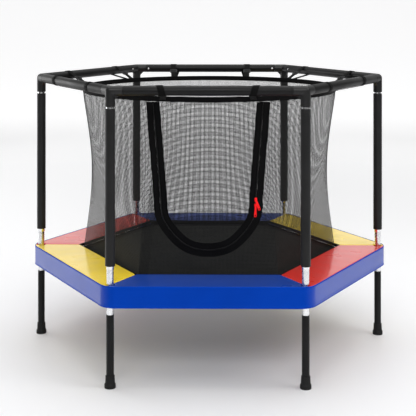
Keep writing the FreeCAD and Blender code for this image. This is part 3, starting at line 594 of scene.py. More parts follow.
def ball(radius):
    # (r cos e, r sin e) turned about Z, e from pole to pole
    e = np.linspace(-pi / 2, pi / 2, 24)
    return lathe(columns(radius * np.cos(e), radius * np.sin(e)), 48, closed=False)


def gusset(turn):
    # A rib between an arm and the drop: a quarter sheet whose free edge is a straight 45 degree line
    radius, half = rail.radius, rail.gussetHalf
    reach, root = radius + rail.gusset, radius * 0.5
    t = np.linspace(0, 1, 9)
    edge = columns(root + (reach - root) * t, -reach + (reach - root) * t)
    inner = np.broadcast_to([radius * 0.2, -radius * 0.2], edge.shape)
    ring = np.stack([columns(line[:, 0], side, line[:, 1])
                     for line, side in ((edge, -half), (edge, half), (inner, half), (inner, -half))], 1)
    ends = [np.stack([ring[k, [0, 3]], ring[k, [1, 2]]]) for k in (0, -1)]
    return [moved(p, (0, 0, railZ), turn) for p in (grid(ring, wrapColumns=True), *(grid(e) for e in ends))]


def connectorMesh():
    # Arms, drop, elbow and ribs overlap, and a voxel skin with a light smoothing makes them one moulding
    drop = moved(plug(rail.radius, 0, rail.skirt), (0, 0, railZ - rail.skirt))
    patches = [drop, moved(ball(rail.radius), (0, 0, railZ))]
    for turn in (120, 240):
        arm = moved(plug(rail.radius, 0, rail.arm), matrix=pointingOut)
        patches += [moved(arm, (0, 0, railZ), turn), *gusset(turn)]
    draft = placed("connectorDraft", joined(meshOf("connectorDraft", [atPost(p, 0) for p in patches])))
    skin = draft.modifiers.new("skin", "REMESH")
    skin.mode = "VOXEL"
    skin.voxel_size = rail.voxel
    ease = draft.modifiers.new("ease", "SMOOTH")
    ease.factor = rail.ease
    ease.iterations = rail.easings
    done = bpy.data.meshes.new_from_object(draft.evaluated_get(bpy.context.evaluated_depsgraph_get()))
    bpy.data.objects.remove(draft)
    return done


def turnedMesh(mesh, name, angle):
    copy = mesh.copy()
    copy.name = name
    points = np.zeros(len(copy.vertices) * 3, np.float32)
    copy.vertices.foreach_get("co", points)
    points = aroundZ((points.reshape(-1, 3), None, None), angle)[0]
    copy.vertices.foreach_set("co", points.astype(np.float32).ravel())
    copy.update()
    return smoothed(copy)


def screwHead():
    # A domed head, its cross recess where the smaller of |x| and |y| is under half a slot
    r, a = np.linspace(0, screw.head, 16)[:, None], circle(48)
    x, y = r * np.cos(a), r * np.sin(a)
    dome = screw.height * np.sqrt(np.maximum(1 - (r / screw.domeWidth) ** 2 * screw.domeFall, 0))
    cross = (np.minimum(abs(x), abs(y)) < screw.slot) & (np.hypot(x, y) < screw.slotReach)
    top = columns(x, y, dome - screw.slotDepth * cross)
    rim = columns(x[-1:], y[-1:], 0)
    return grid(np.concatenate([top, rim, np.zeros_like(rim)]), wrapColumns=True)


connector = connectorMesh()
for corner, angle in corners.items():
    fitted(f"topConnector_{corner}", turnedMesh(connector, f"topConnector_{corner}", angle), "connector",
           stands=(f"top_connector_{corner}",))
screws = []
for side, angle in sides.items():
    piece(f"topRail_{side}", [alongSide(topRail(), railZ, angle)], "rail",
          stands=(f"top_rail_{side}",))
    piece(f"baseRail_{side}", [alongSide(baseRail(), baseZ, angle)], "leg",
          stands=(f"base_rail_{side}",))
    for end in (-1, 1):
        place = (apothem - rail.radius, end * (postAxis / 2 - screw.distance), railZ)
        screws.append(aroundZ(moved(screwHead(), place, matrix=pointingIn), angle))
piece("connectorScrews", screws, "screw", stands=("connector_screws",))
print("rails and connectors done")

# Pads and skirt

pad = Sizes(
    opening=464 * mm, outside=635.7 * mm, corner=67.7 * mm, thickness=12.5 * mm, sunk=0.1 * mm,
    top=padHigh, roll=4.2 * mm, crown=0.9 * mm, hole=16.95 * mm, seam=0.35 * mm, ripple=0.25 * mm,
    ripples=41, fineRows=np.array([0, 0.3, 0.9, 1.8, 3, 4.4, 7]) * mm,
    evenRows=np.linspace(0.035, 0.965, 22), evenColumns=np.linspace(-0.97, 0.97, 70),
    halfLength=310 * mm)
padColours = {"right_back": "yellow", "back": "blue", "left_back": "red",
              "left_front": "yellow", "front": "blue", "right_front": "red"}
skirt = Sizes(
    distance=638 * mm, corner=70 * mm, thickness=2.0 * mm, hem=11 * mm, wave=0.5 * mm, waves=27,
    arcPoints=15, sidePoints=27)


def hexRadius(fromSide, distance, corner):
    # The distance of a rounded hexagon from the axis: distance / cos a on the straight,
    # D cos b + sqrt(r^2 - D^2 sin^2 b) round a corner of radius r whose centre is D away, b from the corner
    a = np.abs(fromSide)
    straight = distance / np.cos(a)
    centre = (distance - corner) / cos30
    b = pi / 6 - a
    arc = centre * np.cos(b) + np.sqrt(np.maximum(corner ** 2 - (centre * np.sin(b)) ** 2, 0))
    return np.where(a <= math.atan((distance - corner) * tan30 / distance), straight, arc)


def padPatches(angle, seed):
    # Polar grid between the opening and the outside; the ends give way to half a post hole.
    # Height: the top less a quarter-circle roll at every edge, plus a low crown
    inner, outer = pad.opening / cos30, float(hexRadius(pi / 6, pad.outside, pad.corner))
    swing = np.linspace(0.02, pi - 0.02, 17)
    hole = (postAxis - pad.hole * np.cos(swing) - inner) / (outer - inner)
    edge = pad.fineRows[:-1] / (outer - inner)
    v = np.unique(np.concatenate([edge, 1 - edge, hole[(hole > 0) & (hole < 1)], pad.evenRows]))
    endEdge = pad.fineRows / pad.halfLength
    u = np.unique(np.concatenate([-1 + endEdge, 1 - endEdge, pad.evenColumns]))[:, None]
    cornerRadius = inner + (outer - inner) * v
    notch = np.sqrt(np.maximum(pad.hole ** 2 - (cornerRadius - postAxis) ** 2, 0)) + pad.seam
    widest = pi / 6 - notch / cornerRadius
    a = u * widest
    inside = pad.opening / np.cos(a)
    radius = inside + (hexRadius(a, pad.outside, pad.corner) - inside) * v
    fromEnd = (widest - np.abs(a)) * radius
    fromEdge = np.minimum(v, 1 - v) * (radius[:, -1:] - radius[:, :1])
    q = np.hypot(np.maximum(1 - fromEnd / pad.roll, 0), np.maximum(1 - fromEdge / pad.roll, 0))
    drop = 1 - np.sqrt(np.maximum(1 - np.minimum(q, 1) ** 2, 0))
    crown = pad.crown * (1 - (2 * v - 1) ** 4) * (1 - u ** 6)
    ripple = pad.ripple * np.sin(a * pad.ripples + seed) * np.sin(v * 3.1) * (1 - u ** 8)
    turn = a + math.radians(angle)
    x, y = radius * np.cos(turn), radius * np.sin(turn)
    base = pad.top - pad.crown
    top = base + crown + ripple - pad.roll * drop - pad.sunk
    lower = pad.thickness - pad.roll - 0.4 * mm
    rim = base - pad.roll - pad.sunk
    bottom = np.minimum(rim - lower * (1 - drop), rim)
    border = q >= 0.9999
    return [grid(columns(x, y, np.where(border, rim, height))) for height in (top, bottom)]


def hexLoop(distance, corner):
    # Points and outward normals round a hexagon with rounded corners, a corner on +X
    centre = (distance - corner) / cos30
    k = np.radians(np.arange(6) * 60)[:, None]
    swing = k + np.radians(np.linspace(-30, 30, skirt.arcPoints))
    arcNormal = columns(np.cos(swing), np.sin(swing))
    arc = columns(centre * np.cos(k) + corner * np.cos(swing), centre * np.sin(k) + corner * np.sin(swing))
    t = np.linspace(0, 1, skirt.sidePoints)[1:-1][None, :, None]
    straight = arc[:, -1:] * (1 - t) + np.roll(arc, -1, 0)[:, :1] * t
    straightNormal = np.broadcast_to(arcNormal[:, -1:], straight.shape)
    return (np.concatenate([arc, straight], 1).reshape(-1, 2),
            np.concatenate([arcNormal, straightNormal], 1).reshape(-1, 2))


def around(profile, distance, corner, wave=0.0):
    # A closed profile of (outward, up) rows carried round the rounded hexagon, wavy toward its lower edge
    loop, normal = hexLoop(distance, corner)
    out, up = np.array(profile, float).T
    turn = np.arctan2(loop[:, 1], loop[:, 0])
    sway = wave * np.sin(turn * skirt.waves + 1.3 * np.sin(turn * 5)) * np.cos(3 * turn) ** 2
    share = np.clip((skirtHigh - up) / (skirtHigh - skirtLow), 0, 1)
    xy = loop[:, None] + normal[:, None] * (out + sway[:, None] * share)[:, :, None]
    return grid(columns(xy[..., 0], xy[..., 1], up), wrapRows=True, wrapColumns=True)


for number, (side, angle) in enumerate(sides.items()):
    colour = padColours[side]
    made = piece(f"pad_{side}_cover", padPatches(angle, number), colour, sharp=60,
                 stands=(f"pad_{side}",))

binding = [(6.5, -0.25), (3.8, -0.3), (1.0, -1.5), (-0.5, -4.4), (-0.5, -9), (1.0, -12), (6.5, -12.6)]
binding = rounded([(out * mm, pad.top + up * mm) for out, up in binding], 0.8 * mm, 2)
piece("padBinding", [around(binding, pad.opening, 1.5 * mm)], "border", sharp=60)


def skirtSection():
    # From the lower hem up the outside, over the seam and down the inside
    low, top, wall, hem, face = skirtLow, skirtHigh, skirt.thickness, skirt.hem, -0.55 * mm
    rows = [(0, low + 1 * mm), (-0.1 * mm, low + hem), (face, low + hem + 0.6 * mm)]
    rows += [(face, z) for z in np.linspace(low + 0.25 * (top - low), top - 9 * mm, 8)]
    rows += [(-0.3 * mm, top - 6 * mm), (-1.4 * mm, top - 1.2 * mm), (-wall, top)]
    rows += [(-wall - 0.4 * mm, top - 2 * mm), (-wall, top - 6 * mm), (-wall, low + hem), (-wall, low)]
    rows += [(-1 * mm, low)]
    return rounded(rows, 1.0 * mm, 3)


skirtPiece = piece("skirtCover", [around(skirtSection(), skirt.distance, skirt.corner, skirt.wave)],
                   "skirt", stands=("pad_skirt",), sharp=50)
print("pads and skirt done")

# Mat with its border, rings and springs

mat = Sizes(edge=474 * mm, border=32 * mm, sheet=1.2 * mm, lip=1.6 * mm)
spring = Sizes(
    axis=350.7 * mm, inner=489.2 * mm, outer=592.5 * mm, pitch=120 * mm, count=4, radius=5.7 * mm,
    wire=1.2 * mm, turns=34, steps=14, closing=0.012, hook=3.4 * mm, hookTurn=1.35, neck=3 * mm,
    ringWidth=26 * mm, ringBar=1.5 * mm, ringInner=467.5 * mm, ringOuter=486.5 * mm)


def matSector():
    # One sixth of the mat: x = d, y = d u tan 30, with the border as a thicker rim
    edge, inner, thick = mat.edge, mat.edge - mat.border, matHigh - matLow - 0.2 * mm
    d = np.concatenate([[0], np.linspace(0.04, 1, 24) * inner, [inner + 0.6 * mm, inner + 1.4 * mm],
                        np.linspace(inner + 4 * mm, edge - 2 * mm, 6), [edge - 0.8 * mm, edge]])[:, None]
    half = np.interp(d, [0, inner, inner + 1.4 * mm, edge - 1.2 * mm, edge],
                     [mat.sheet, mat.sheet, thick, thick, mat.lip]) / 2
    across, middle = d * np.linspace(-1, 1, 25) * tan30, (matLow + matHigh) / 2
    up = columns(d, across, middle + half)
    down = columns(d, across, middle - half)[:, ::-1]
    outer = np.stack([up[-1], down[-1, ::-1]])
    return [grid(np.concatenate([up, down], 1), wrapColumns=True), grid(outer)]


def springCoil():
    # A helix (x, R cos a, R sin a) whose radius closes on the axis at both ends, then hooks
    inner, outer, neck, hook = spring.inner, spring.outer, spring.neck, spring.hook
    t = np.linspace(0, 1, spring.turns * spring.steps + 1)
    a = 2 * pi * spring.turns * t
    radius = spring.radius * np.clip(np.minimum(t, 1 - t) / spring.closing, 0, 1) ** 0.5
    coil = columns(inner + neck + (outer - inner - 2 * neck) * t, radius * np.cos(a), radius * np.sin(a))
    b = np.linspace(0, spring.hookTurn * pi, 12)[1:]
    inHook = columns(inner - neck - hook * np.sin(b), 0, -hook * (1 - np.cos(b)))[::-1]
    outHook = columns(outer + neck + hook * np.sin(b) * 0.6, 0, hook * (1 - np.cos(b)) * -0.8)
    path = np.concatenate([inHook, coil, outHook])
    path[:, 2] += spring.axis
    sideways = np.tile([0.0, 1.0, 0.0], (len(b), 1))
    normal = np.concatenate([sideways, columns(0, np.cos(a), np.sin(a)), sideways])
    return sweep(path, normal, spring.wire, 6)


def ringLoop():
    half = spring.ringWidth / 2 - spring.ringBar
    loop = box(spring.ringInner, -half, spring.ringOuter, half, 4 * mm, 5)
    path = columns(loop[:, 0], loop[:, 1], spring.axis - 1 * mm)
    return sweep(path, np.tile([0.0, 0.0, 1.0], (len(path), 1)), spring.ringBar, 8, closed=True)


def bounceBlend(made):
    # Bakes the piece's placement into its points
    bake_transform(made)


offsets = (np.arange(spring.count) - (spring.count - 1) / 2) * spring.pitch
for side, angle in sides.items():
    made = piece(f"mat_{side}", [aroundZ(p, angle) for p in matSector()], "mat", body=None,
                 stands=("jumping_mat",), sharp=70)
    bounceBlend(made)
    for name, shape in (("spring", springCoil()), ("ring", ringLoop())):
        row = [aroundZ(moved(shape, (0, offset, 0)), angle) for offset in offsets]
        made = piece(f"{name}s_{side}", row, name, body=None, stands=(f"mat_{name}s",))
        bounceBlend(made)
print("mat and springs done")

# Net, door, hoop and straps

net = Sizes(
    low=354.8 * mm, high=1012.7 * mm, distance=451.5 * mm, hoop=521.5 * mm, waistCorner=32 * mm,
    waistSide=12 * mm, pitch=5 * mm, thread=1.45 * mm, depth=0.35 * mm, follow=0.2553, slack=2.9 * mm,
    slackHeights=(790 * mm, 940 * mm, 985 * mm), hem=8 * mm, hemHalf=0.7 * mm, frontShare=0.45)
door = Sizes(
    topHalf=204 * mm, turnHalf=176.4 * mm, turn=638 * mm, low=459.5 * mm, top=1011.7 * mm, power=2.3,
    slim=0.11, slimFrom=590 * mm, slimTo=490 * mm, bend=30 * mm, tape=24 * mm, outerTape=27 * mm,
    chain=3 * mm, cloth=4.5 * mm, face=1.25 * mm, back=0.7 * mm, lip=0.35 * mm, tooth=2.9 * mm)
# A second net layer in a leaning strip, a painted shadow band across the mat
shadowLayer = Sizes(
    bottom=(-260.7 * mm, -227 * mm), top=(-202 * mm, -170 * mm), height=800 * mm, inside=2 * mm)
tooth = Sizes(across=1.9 * mm, along=1.15 * mm, out=1.0 * mm, aside=0.8 * mm, power=0.55)


def slack(a, z):
    # The front of the net lies a little further in under the hoop, so that the slider clears it
    heights, depths = (*net.slackHeights, net.high), (0, net.slack, net.slack, 0)
    return np.interp(z, heights, depths) * (1 - np.clip(np.abs(a) / (pi / 6), 0, 1) ** 8)


def netRadius(a, level):
    # (1-v) d / cos a + v hoop - waist (4 v (1-v))^1.4, the waist growing with a^2 to the corners
    waist = net.waistSide + (net.waistCorner - net.waistSide) * (a / (pi / 6)) ** 2
    hollow = np.maximum(4 * level * (1 - level), 0) ** 1.4
    return (1 - level) * net.distance / np.cos(a) + level * net.hoop - waist * hollow


def netSurface(u, level, turn, lift):
    # u runs from -1 to 1 between two corners and level from 0 at the mat to 1 at the hoop
    a = (1 - level) * np.arctan(u * tan30) + level * u * pi / 6
    z = net.low + (net.high - net.low) * level
    radius = netRadius(a, level) + lift
    if turn == sides["front"]:
        radius = radius - slack(a, z)
    spot = a + math.radians(turn)
    return columns(radius * np.cos(spot), radius * np.sin(spot), z)


def netFront(x, z, lift=0.0):
    # The point of the front net at (x, z): its angle solves radius sin a = x by repeated substitution
    level = (z - net.low) / (net.high - net.low)
    a = np.arcsin(np.clip(x / net.hoop, -1, 1))
    for step in range(8):
        radius = netRadius(a, level) - slack(a, z)
        a = np.arcsin(np.clip(x / radius, -1, 1))
    return columns(x + lift * np.sin(a), -(radius + lift) * np.cos(a), z)


def slimmer(z):
    # The door's bowl is a little narrower below the sliders than its superellipse
    share = np.clip((door.slimFrom - z) / (door.slimFrom - door.slimTo), 0, 1)
    return 1 - door.slim * share ** 2 * (3 - 2 * share)


def zipAcross(z):
    # Half the door's width at a height: straight arms over a superellipse
    half, turn, power = door.turnHalf, door.turn, door.power
    arm = half + (door.topHalf - half) * (z - turn) / (net.high - turn)
    down = np.clip((turn - z) / (turn - door.low), 0, 1)
    return np.where(z >= turn, arm, half * slimmer(z) * (1 - down ** power) ** (1 / power))


def cords(points, across, keep):
    # Each row of points becomes a thread of diamond section, closed where it is cut
    along = unit(np.gradient(points, axis=1))
    across = unit(across - (across * along).sum(-1, keepdims=True) * along)
    normal = np.cross(along, across)
    ring = np.stack([points + across * net.thread / 2, points + normal * net.depth / 2,
                     points - across * net.thread / 2, points - normal * net.depth / 2], 2)
    index = np.arange(points[..., 0].size * 4).reshape(*points.shape[:2], 4)
    a, b = index[:, :-1][keep], index[:, 1:][keep]
    walls = np.stack([a, np.roll(a, -1, 1), np.roll(b, -1, 1), b], -1).reshape(-1, 4)
    first = keep & ~np.pad(keep, ((0, 0), (1, 0)))[:, :-1]
    last = keep & ~np.pad(keep, ((0, 0), (0, 1)))[:, 1:]
    caps = np.vstack([index[:, :-1][first][:, ::-1], index[:, 1:][last]])
    used, faces = np.unique(np.vstack([walls, caps]), return_inverse=True)
    return ring.reshape(-1, 3)[used], faces.reshape(-1, 4), None


def insideDoor(x, z):
    return (np.abs(x) < zipAcross(z)) & (z > door.low)


def outsideDoor(x, z):
    return ~insideDoor(x, z)


def shadowStrip(x, z):
    # Painted shadow: the strip of a second, dark net layer that leans from the mat's left corner up to the
    # door's left arm, standing in for a shadow band across the mat
    share = (z - net.low) / (shadowLayer.height - net.low)
    left, right = (low + (high - low) * share for low, high in zip(shadowLayer.bottom, shadowLayer.top))
    return (x > left) & (x < right) & (share < 1)


def netThreads(turn, upright, level, choose=None, lift=0.0):
    # Upright threads at even steps across the panel, then level threads at even heights,
    # each cut to the stretches whose middles are chosen
    count, rows = int(panelWidth / net.pitch), int(panelHeight / net.pitch)
    uprights = ((np.arange(count) + 0.5) / count * 2 - 1)[:, None]
    levels = ((np.arange(rows) + 0.5) / rows)[:, None]
    patches = []
    for u, v, aside, above in ((uprights, np.linspace(0, 1, upright + 1), 0.01, 0),
                               (np.linspace(-1, 1, level + 1), levels, 0, 0.01)):
        points = netSurface(u, v, turn, lift)
        nearby = netSurface(u + aside, v + above, turn, lift)
        middle = (points[:, :-1] + points[:, 1:]) / 2
        keep = choose(middle[..., 0], middle[..., 2]) if choose else np.ones(middle.shape[:2], bool)
        patches.append(cords(points, nearby - points, keep))
    return patches


def netHem(turn):
    # A webbing sewn over the net's lower edge
    rise, half = net.hem / panelHeight, net.hemHalf
    level, lift = rounded([(0, -half), (0, half), (rise, half), (rise, -half)], 0.0, 1).T
    return grid(netSurface(np.linspace(-1, 1, 41)[:, None], level, turn, lift), wrapColumns=True)


def netBlend(made):
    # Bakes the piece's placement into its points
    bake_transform(made)


def doorBlend(made):
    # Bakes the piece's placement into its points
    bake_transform(made)


def netPiece(name, threads, blend, stands=()):
    # An open net has only its threads' area: all of the rectangle but the holes, (1 - w/p)^2 of it
    made = piece(name, threads, "net", body=None, merge=False, stands=stands)
    blend(made)
    threads = 1 - (1 - net.thread / net.pitch) ** 2


panelWidth, panelHeight = 2 * net.distance * tan30, net.high - net.low
front = sides["front"]
for side, angle in sides.items():
    if side != "front":
        netPiece(f"net_{side}", netThreads(angle, 26, 22), netBlend, ("net_panels",))
# The front panel is a U-shaped strip round the door
netPiece("net_front_panel", netThreads(front, 60, 48, outsideDoor), netBlend,
         ("net_front",))
netPiece("door_net", netThreads(front, 60, 48, insideDoor), doorBlend,
         ("door_flap",))
# The second net layer of the painted shadow band
netPiece("net_strip", netThreads(front, 120, 96, shadowStrip, -shadowLayer.inside), netBlend)
netBlend(piece("net_hem", [netHem(angle) for angle in sides.values()], "border", body=None))
print("net done")


def doorPath(steps=300):
    # The zip line from the left end at the hoop, round the bottom, to the right end, at even steps
    swing = np.linspace(pi, 0, 400)
    power = 2 / door.power
    heights = door.turn - (door.turn - door.low) * np.abs(np.sin(swing)) ** power
    half = door.turnHalf * slimmer(heights)
    bowl = columns(np.sign(np.cos(swing)) * np.abs(np.cos(swing)) ** power * half, heights)
    line = np.vstack([[-door.topHalf, net.high], bowl, [door.topHalf, net.high]])
    length = walked(line)
    even = np.linspace(0, length[-1], steps + 1)
    points = columns(np.interp(even, length, line[:, 0]), np.interp(even, length, line[:, 1]))
    along = unit(np.gradient(points, axis=0))
    return points, along, columns(along[:, 1], -along[:, 0]), even


def tapeBand(profile):
    # A closed profile of (outward from the zip line, out of the net) rows carried along the zip line
    points, _, outward, even = doorPath()
    offset, lift = np.array(profile, float).T
    flat = points[:, None] + outward[:, None] * offset[:, None]
    surface = netFront(flat[..., 0], np.minimum(flat[..., 1], door.top), lift)
    uv = columns(np.append(offset, offset[0]), even[:, None])
    ends = [np.stack([surface[k], np.broadcast_to(surface[k].mean(0), surface[k].shape)]) for k in (0, -1)]
    blank = np.zeros((2, len(offset) + 1, 2))
    return [grid(surface, wrapColumns=True, uv=uv), *(grid(e, wrapColumns=True, uv=blank) for e in ends)]


def tapeProfile(first, last):
    # A flat tape with a turned and stitched edge on both sides
    face, back, low = door.face, -door.back, door.face - door.lip
    rows = [(first, back), (last, back), (last, face - 0.1 * mm), (last - 3 * mm, face), (last - 4 * mm, low)]
    rows += [(x, low) for x in np.linspace(last - 5 * mm, first + 5 * mm, 5)]
    rows += [(first + 4 * mm, low), (first + 3 * mm, face), (first, face - 0.1 * mm)]
    return rounded(rows, 0.3 * mm, 2)


def bulged(value):
    return np.sign(value) * np.abs(value) ** tooth.power


def zipTeeth():
    # Interlocking teeth: rounded blocks, every other one set to the other side of the line
    zipLength = doorPath(10)[3][-1]
    points, along, outward, _ = doorPath(int(zipLength / door.tooth))
    side = np.where(np.arange(len(points)) % 2 == 0, tooth.aside, -tooth.aside)
    keep = points[:, 1] < door.top - 2 * mm
    kept = (values[keep][:, None, None] for values in (points, along, outward, side[:, None]))
    points, along, outward, side = kept
    e, a = np.linspace(-pi / 2, pi / 2, 5)[:, None], circle(8)
    x, y, z = np.cos(e) * np.cos(a), np.cos(e) * np.sin(a), np.sin(e)
    block = columns(bulged(x) * tooth.across, bulged(y) * tooth.along, bulged(z) * tooth.out)
    flat = points + outward * (block[..., :1] + side) + along * block[..., 1:2]
    surface = netFront(flat[..., 0], flat[..., 1], door.face + 0.1 * mm + block[None, ..., 2])
    number = np.arange(surface[..., 0].size).reshape(surface.shape[:3])
    number = np.concatenate([number, number[:, :, :1]], 2)
    faces = np.stack([number[:, :-1, :-1], number[:, :-1, 1:], number[:, 1:, 1:], number[:, 1:, :-1]], -1)
    return surface.reshape(-1, 3), faces.reshape(-1, 4), None


for name, patches, look in (
    ("door_tape", tapeBand(tapeProfile(-door.tape, -door.chain - 0.4 * mm)), "tape"),
    ("zip_cloth", tapeBand(box(-door.cloth, -0.5 * mm, door.chain, 0.5 * mm, 0.2 * mm, 2)), "tape"),
    ("zip_teeth", [zipTeeth()], "chain"),
):
    doorBlend(piece(name, patches, look, body=None, sharp=50))
piece("front_tape", tapeBand(tapeProfile(door.chain + 0.6 * mm, door.outerTape)), "tape",
      sharp=50)

hoop = Sizes(radius=521.5 * mm, half=1.3 * mm, edge=1.0 * mm, steps=240)
strap = Sizes(
    offset=168 * mm, width=25 * mm, thickness=1.4 * mm, end=1.6 * mm, spread=8 * mm, edge=0.5 * mm,
    play=0.3 * mm, fromHoop=1 * mm, ringSteps=40, endSteps=16)


def hoopBand():
    inner, outer = hoop.radius - hoop.half, hoop.radius + hoop.half
    section = box(inner, hoopLow, outer, hoopHigh, hoop.edge, 3)
    a, (r, h) = circle(hoop.steps)[:, None], section.T
    uv = columns(walked(np.vstack([section, section[:1]])),
                 (np.linspace(0, 2 * pi, hoop.steps + 1) * hoop.radius)[:, None])
    return grid(columns(r * np.cos(a), r * np.sin(a), h), wrapRows=True, wrapColumns=True, uv=uv)


piece("hoopBand", [hoopBand()], "hoop", stands=("net_hoop",), sharp=50)


def strapCentres():
    # The two circles that a strap runs round, in the upright plane across a side
    railCentre = np.array([apothem, railZ])
    ring = rail.radius + strap.play + strap.thickness / 2
    small = strap.end + strap.thickness / 2
    outside = hoop.radius + hoop.half + strap.fromHoop
    face = math.sqrt(outside ** 2 - (strap.offset - strap.width / 2) ** 2)
    away = face + strap.play + strap.thickness + strap.end
    return railCentre, np.array([away, (hoopLow + hoopHigh) / 2]), ring, small


def strapLoop(mirror):
    # A belt round two circles: arcs about the rail and the hoop joined by their common tangents
    railCentre, hoopCentre, ring, small = strapCentres()
    between = hoopCentre - railCentre
    heading, lean = math.atan2(between[1], between[0]), math.acos((ring - small) / np.linalg.norm(between))
    a = np.linspace(heading + lean, heading - lean + 2 * pi, strap.ringSteps)
    b = np.linspace(heading - lean, heading + lean, strap.endSteps)
    first = railCentre + ring * columns(np.cos(a), np.sin(a))
    second = hoopCentre + small * columns(np.cos(b), np.sin(b))
    t = np.linspace(0, 1, 12)[1:-1, None]
    there, back = first[-1] * (1 - t) + second[0] * t, second[-1] * (1 - t) + first[0] * t
    loop = np.vstack([first, there, second, back])
    tilt = np.concatenate([np.linspace(1, -1, len(a)), -1 + t[:, 0], np.zeros(len(b)), t[:, 0]])
    tilt = tilt * strap.spread * mirror
    along = unit(np.roll(loop, -1, 0) - np.roll(loop, 1, 0))
    edge = centredBox(strap.thickness / 2, strap.width / 2, strap.edge, 3)
    flat = loop[:, None] + columns(along[:, 1], -along[:, 0])[:, None] * edge[:, :1]
    points = columns(flat[..., 0], edge[:, 1] + tilt[:, None], flat[..., 1])
    uv = columns(np.append(edge[:, 1], edge[0, 1]), walked(np.vstack([loop, loop[:1]]))[:, None])
    return [grid(points, wrapRows=True, wrapColumns=True, uv=uv)]


def atStraps(build):
    # What build makes for a mirror sign, at each strap's place
    return [aroundZ(moved(p, (0, sign * strap.offset, 0)), angle)
            for angle in sides.values() for sign in (-1, 1) for p in build(-sign)]


piece("railStraps", atStraps(strapLoop), "strap", stands=("rail_straps",), sharp=50)
print("door, hoop and straps done")

# Buckles, sliders and pulls

zipParts = Sizes(
    length=16 * mm, width=10 * mm, nose=6.5 * mm, plate=2 * mm, sunk=1.3 * mm, pin=3.6 * mm,
    wire=0.7 * mm, archHalf=2.3 * mm, archFoot=1.9 * mm, arch=3.5 * mm, pullLength=42 * mm,
    pullWidth=10 * mm, pullNeck=6.8 * mm, pullHalf=0.95 * mm, pullTop=3.9 * mm, pullCorner=4.2 * mm,
    hole=2.8 * mm, holeUp=5.4 * mm, barHalf=2.7 * mm, earOut=2.65 * mm, earDown=2.2 * mm)
buckle = Sizes(
    width=33 * mm, height=22 * mm, corner=4 * mm, innerCorner=2 * mm, endRail=4 * mm, sideRail=3.6 * mm,
    over=1.9 * mm, soft=0.9 * mm, reach=56 * mm, bar=1.7 * mm, barIn=2 * mm, barEdge=0.4 * mm,
    barSunk=0.6 * mm)


def plate(outer, inner, half, soft):
    # A flat ring between two outlines of equally many points, or a plain plate if inner is one point,
    # with softened edges, its thickness along the third axis
    inward = unit(inner - outer) * soft
    hole = np.linalg.norm(np.ptp(inner, 0)) > 0
    rows = [(inner, -half + soft), (inner - inward, -half)] if hole else [(inner, -half)]
    rows += [(outer + inward, -half), (outer, -half + soft), (outer, half - soft), (outer + inward, half)]
    rows += [(inner - inward, half), (inner, half - soft)] if hole else [(inner, half)]
    points = np.stack([columns(*outline.T, level) for outline, level in rows])
    return grid(points, wrapRows=hole, wrapColumns=True)


def buckles(mirror):
    # A moulded frame with a cross bar that the strap is threaded round. It lies on the strap's
    # upper run, which leaves the hoop at the angle of the common tangent
    x, y, half = buckle.height / 2, buckle.width / 2, strap.thickness / 2 + buckle.over
    opening = centredBox(x - buckle.endRail, y - buckle.sideRail, buckle.innerCorner)
    rim = plate(centredBox(x, y, buckle.corner), opening, half, buckle.soft)
    bar = plug(buckle.bar, buckle.barIn - y, y - buckle.barIn, buckle.barEdge, 2, 16)
    railCentre, hoopCentre, ring, small = strapCentres()
    toRail = railCentre - hoopCentre
    length = np.linalg.norm(toRail)
    slope = math.atan2(toRail[1], toRail[0]) + math.asin((ring - small) / length)
    run = math.sqrt(length ** 2 - (ring - small) ** 2)
    ahead, up = np.array([math.cos(slope), math.sin(slope)]), np.array([-math.sin(slope), math.cos(slope)])
    spot = hoopCentre + ahead * buckle.reach + up * small
    sway = -strap.spread * mirror * buckle.reach / run
    matrix = [[ahead[0], 0, up[0]], [0, 1, 0], [ahead[1], 0, up[1]]]
    return [moved(p, (spot[0], sway, spot[1]), matrix=matrix)
            for p in (rim, moved(bar, (0, 0, half - buckle.barSunk), matrix=lying))]


def sliderParts():
    # A shield and the arch that carries the pull, in the plane of the zip, its front towards -Z
    w, n, l = zipParts.width / 2, zipParts.nose / 2, zipParts.length / 2
    outline = [(-n, -l), (n, -l), (w, 0), (w, l * 0.7), (n, l), (-n, l), (-w, l * 0.7), (-w, 0)]
    shield = rounded(outline, 1.6 * mm, 4)
    body = moved(plate(shield, shield * 0, zipParts.plate / 2, 0.6 * mm), (0, 0, -zipParts.sunk))
    t = np.linspace(0, pi, 17)
    arch = columns(0, zipParts.archHalf * np.cos(t), -zipParts.archFoot - zipParts.arch * np.sin(t))
    return body, sweep(arch, np.tile([1.0, 0, 0], (len(t), 1)), zipParts.wire, 8)


def pullParts():
    # A tab that widens to a round end with a hole, hung by two ears and a cross bar
    w, n = zipParts.pullWidth / 2, zipParts.pullNeck / 2
    end, top = -zipParts.pullLength, -zipParts.pullTop
    outline = [(-w, end), (w, end), (w, end * 0.7), (n, top), (-n, top), (-w, end * 0.7)]
    outline = rounded(outline, zipParts.pullCorner, 8)
    middle = np.array([0, end + zipParts.holeUp])
    tab = plate(outline, middle + unit(outline - middle) * zipParts.hole, zipParts.pullHalf, 0.5 * mm)
    ear = centredBox(0.75 * mm, 2.9 * mm, 0.6 * mm, 3)
    ear = plate(ear, ear * 0, 0.8 * mm, 0.4 * mm)
    ears = [moved(ear, (side * zipParts.earOut, -zipParts.earDown, 0)) for side in (-1, 1)]
    ends = np.array([[-zipParts.barHalf, 0, 0], [zipParts.barHalf, 0, 0]])
    return [tab, *ears, sweep(ends, np.tile([0, 0, 1.0], (2, 1)), zipParts.wire, 10)]


def framed(across, inward):
    # A turn whose first axis is across, its third as near to inward as can be
    across = unit(np.array(across, float))
    inward = unit(inward - across * (across @ inward))
    return np.stack([across, np.cross(across, inward), inward], -1)


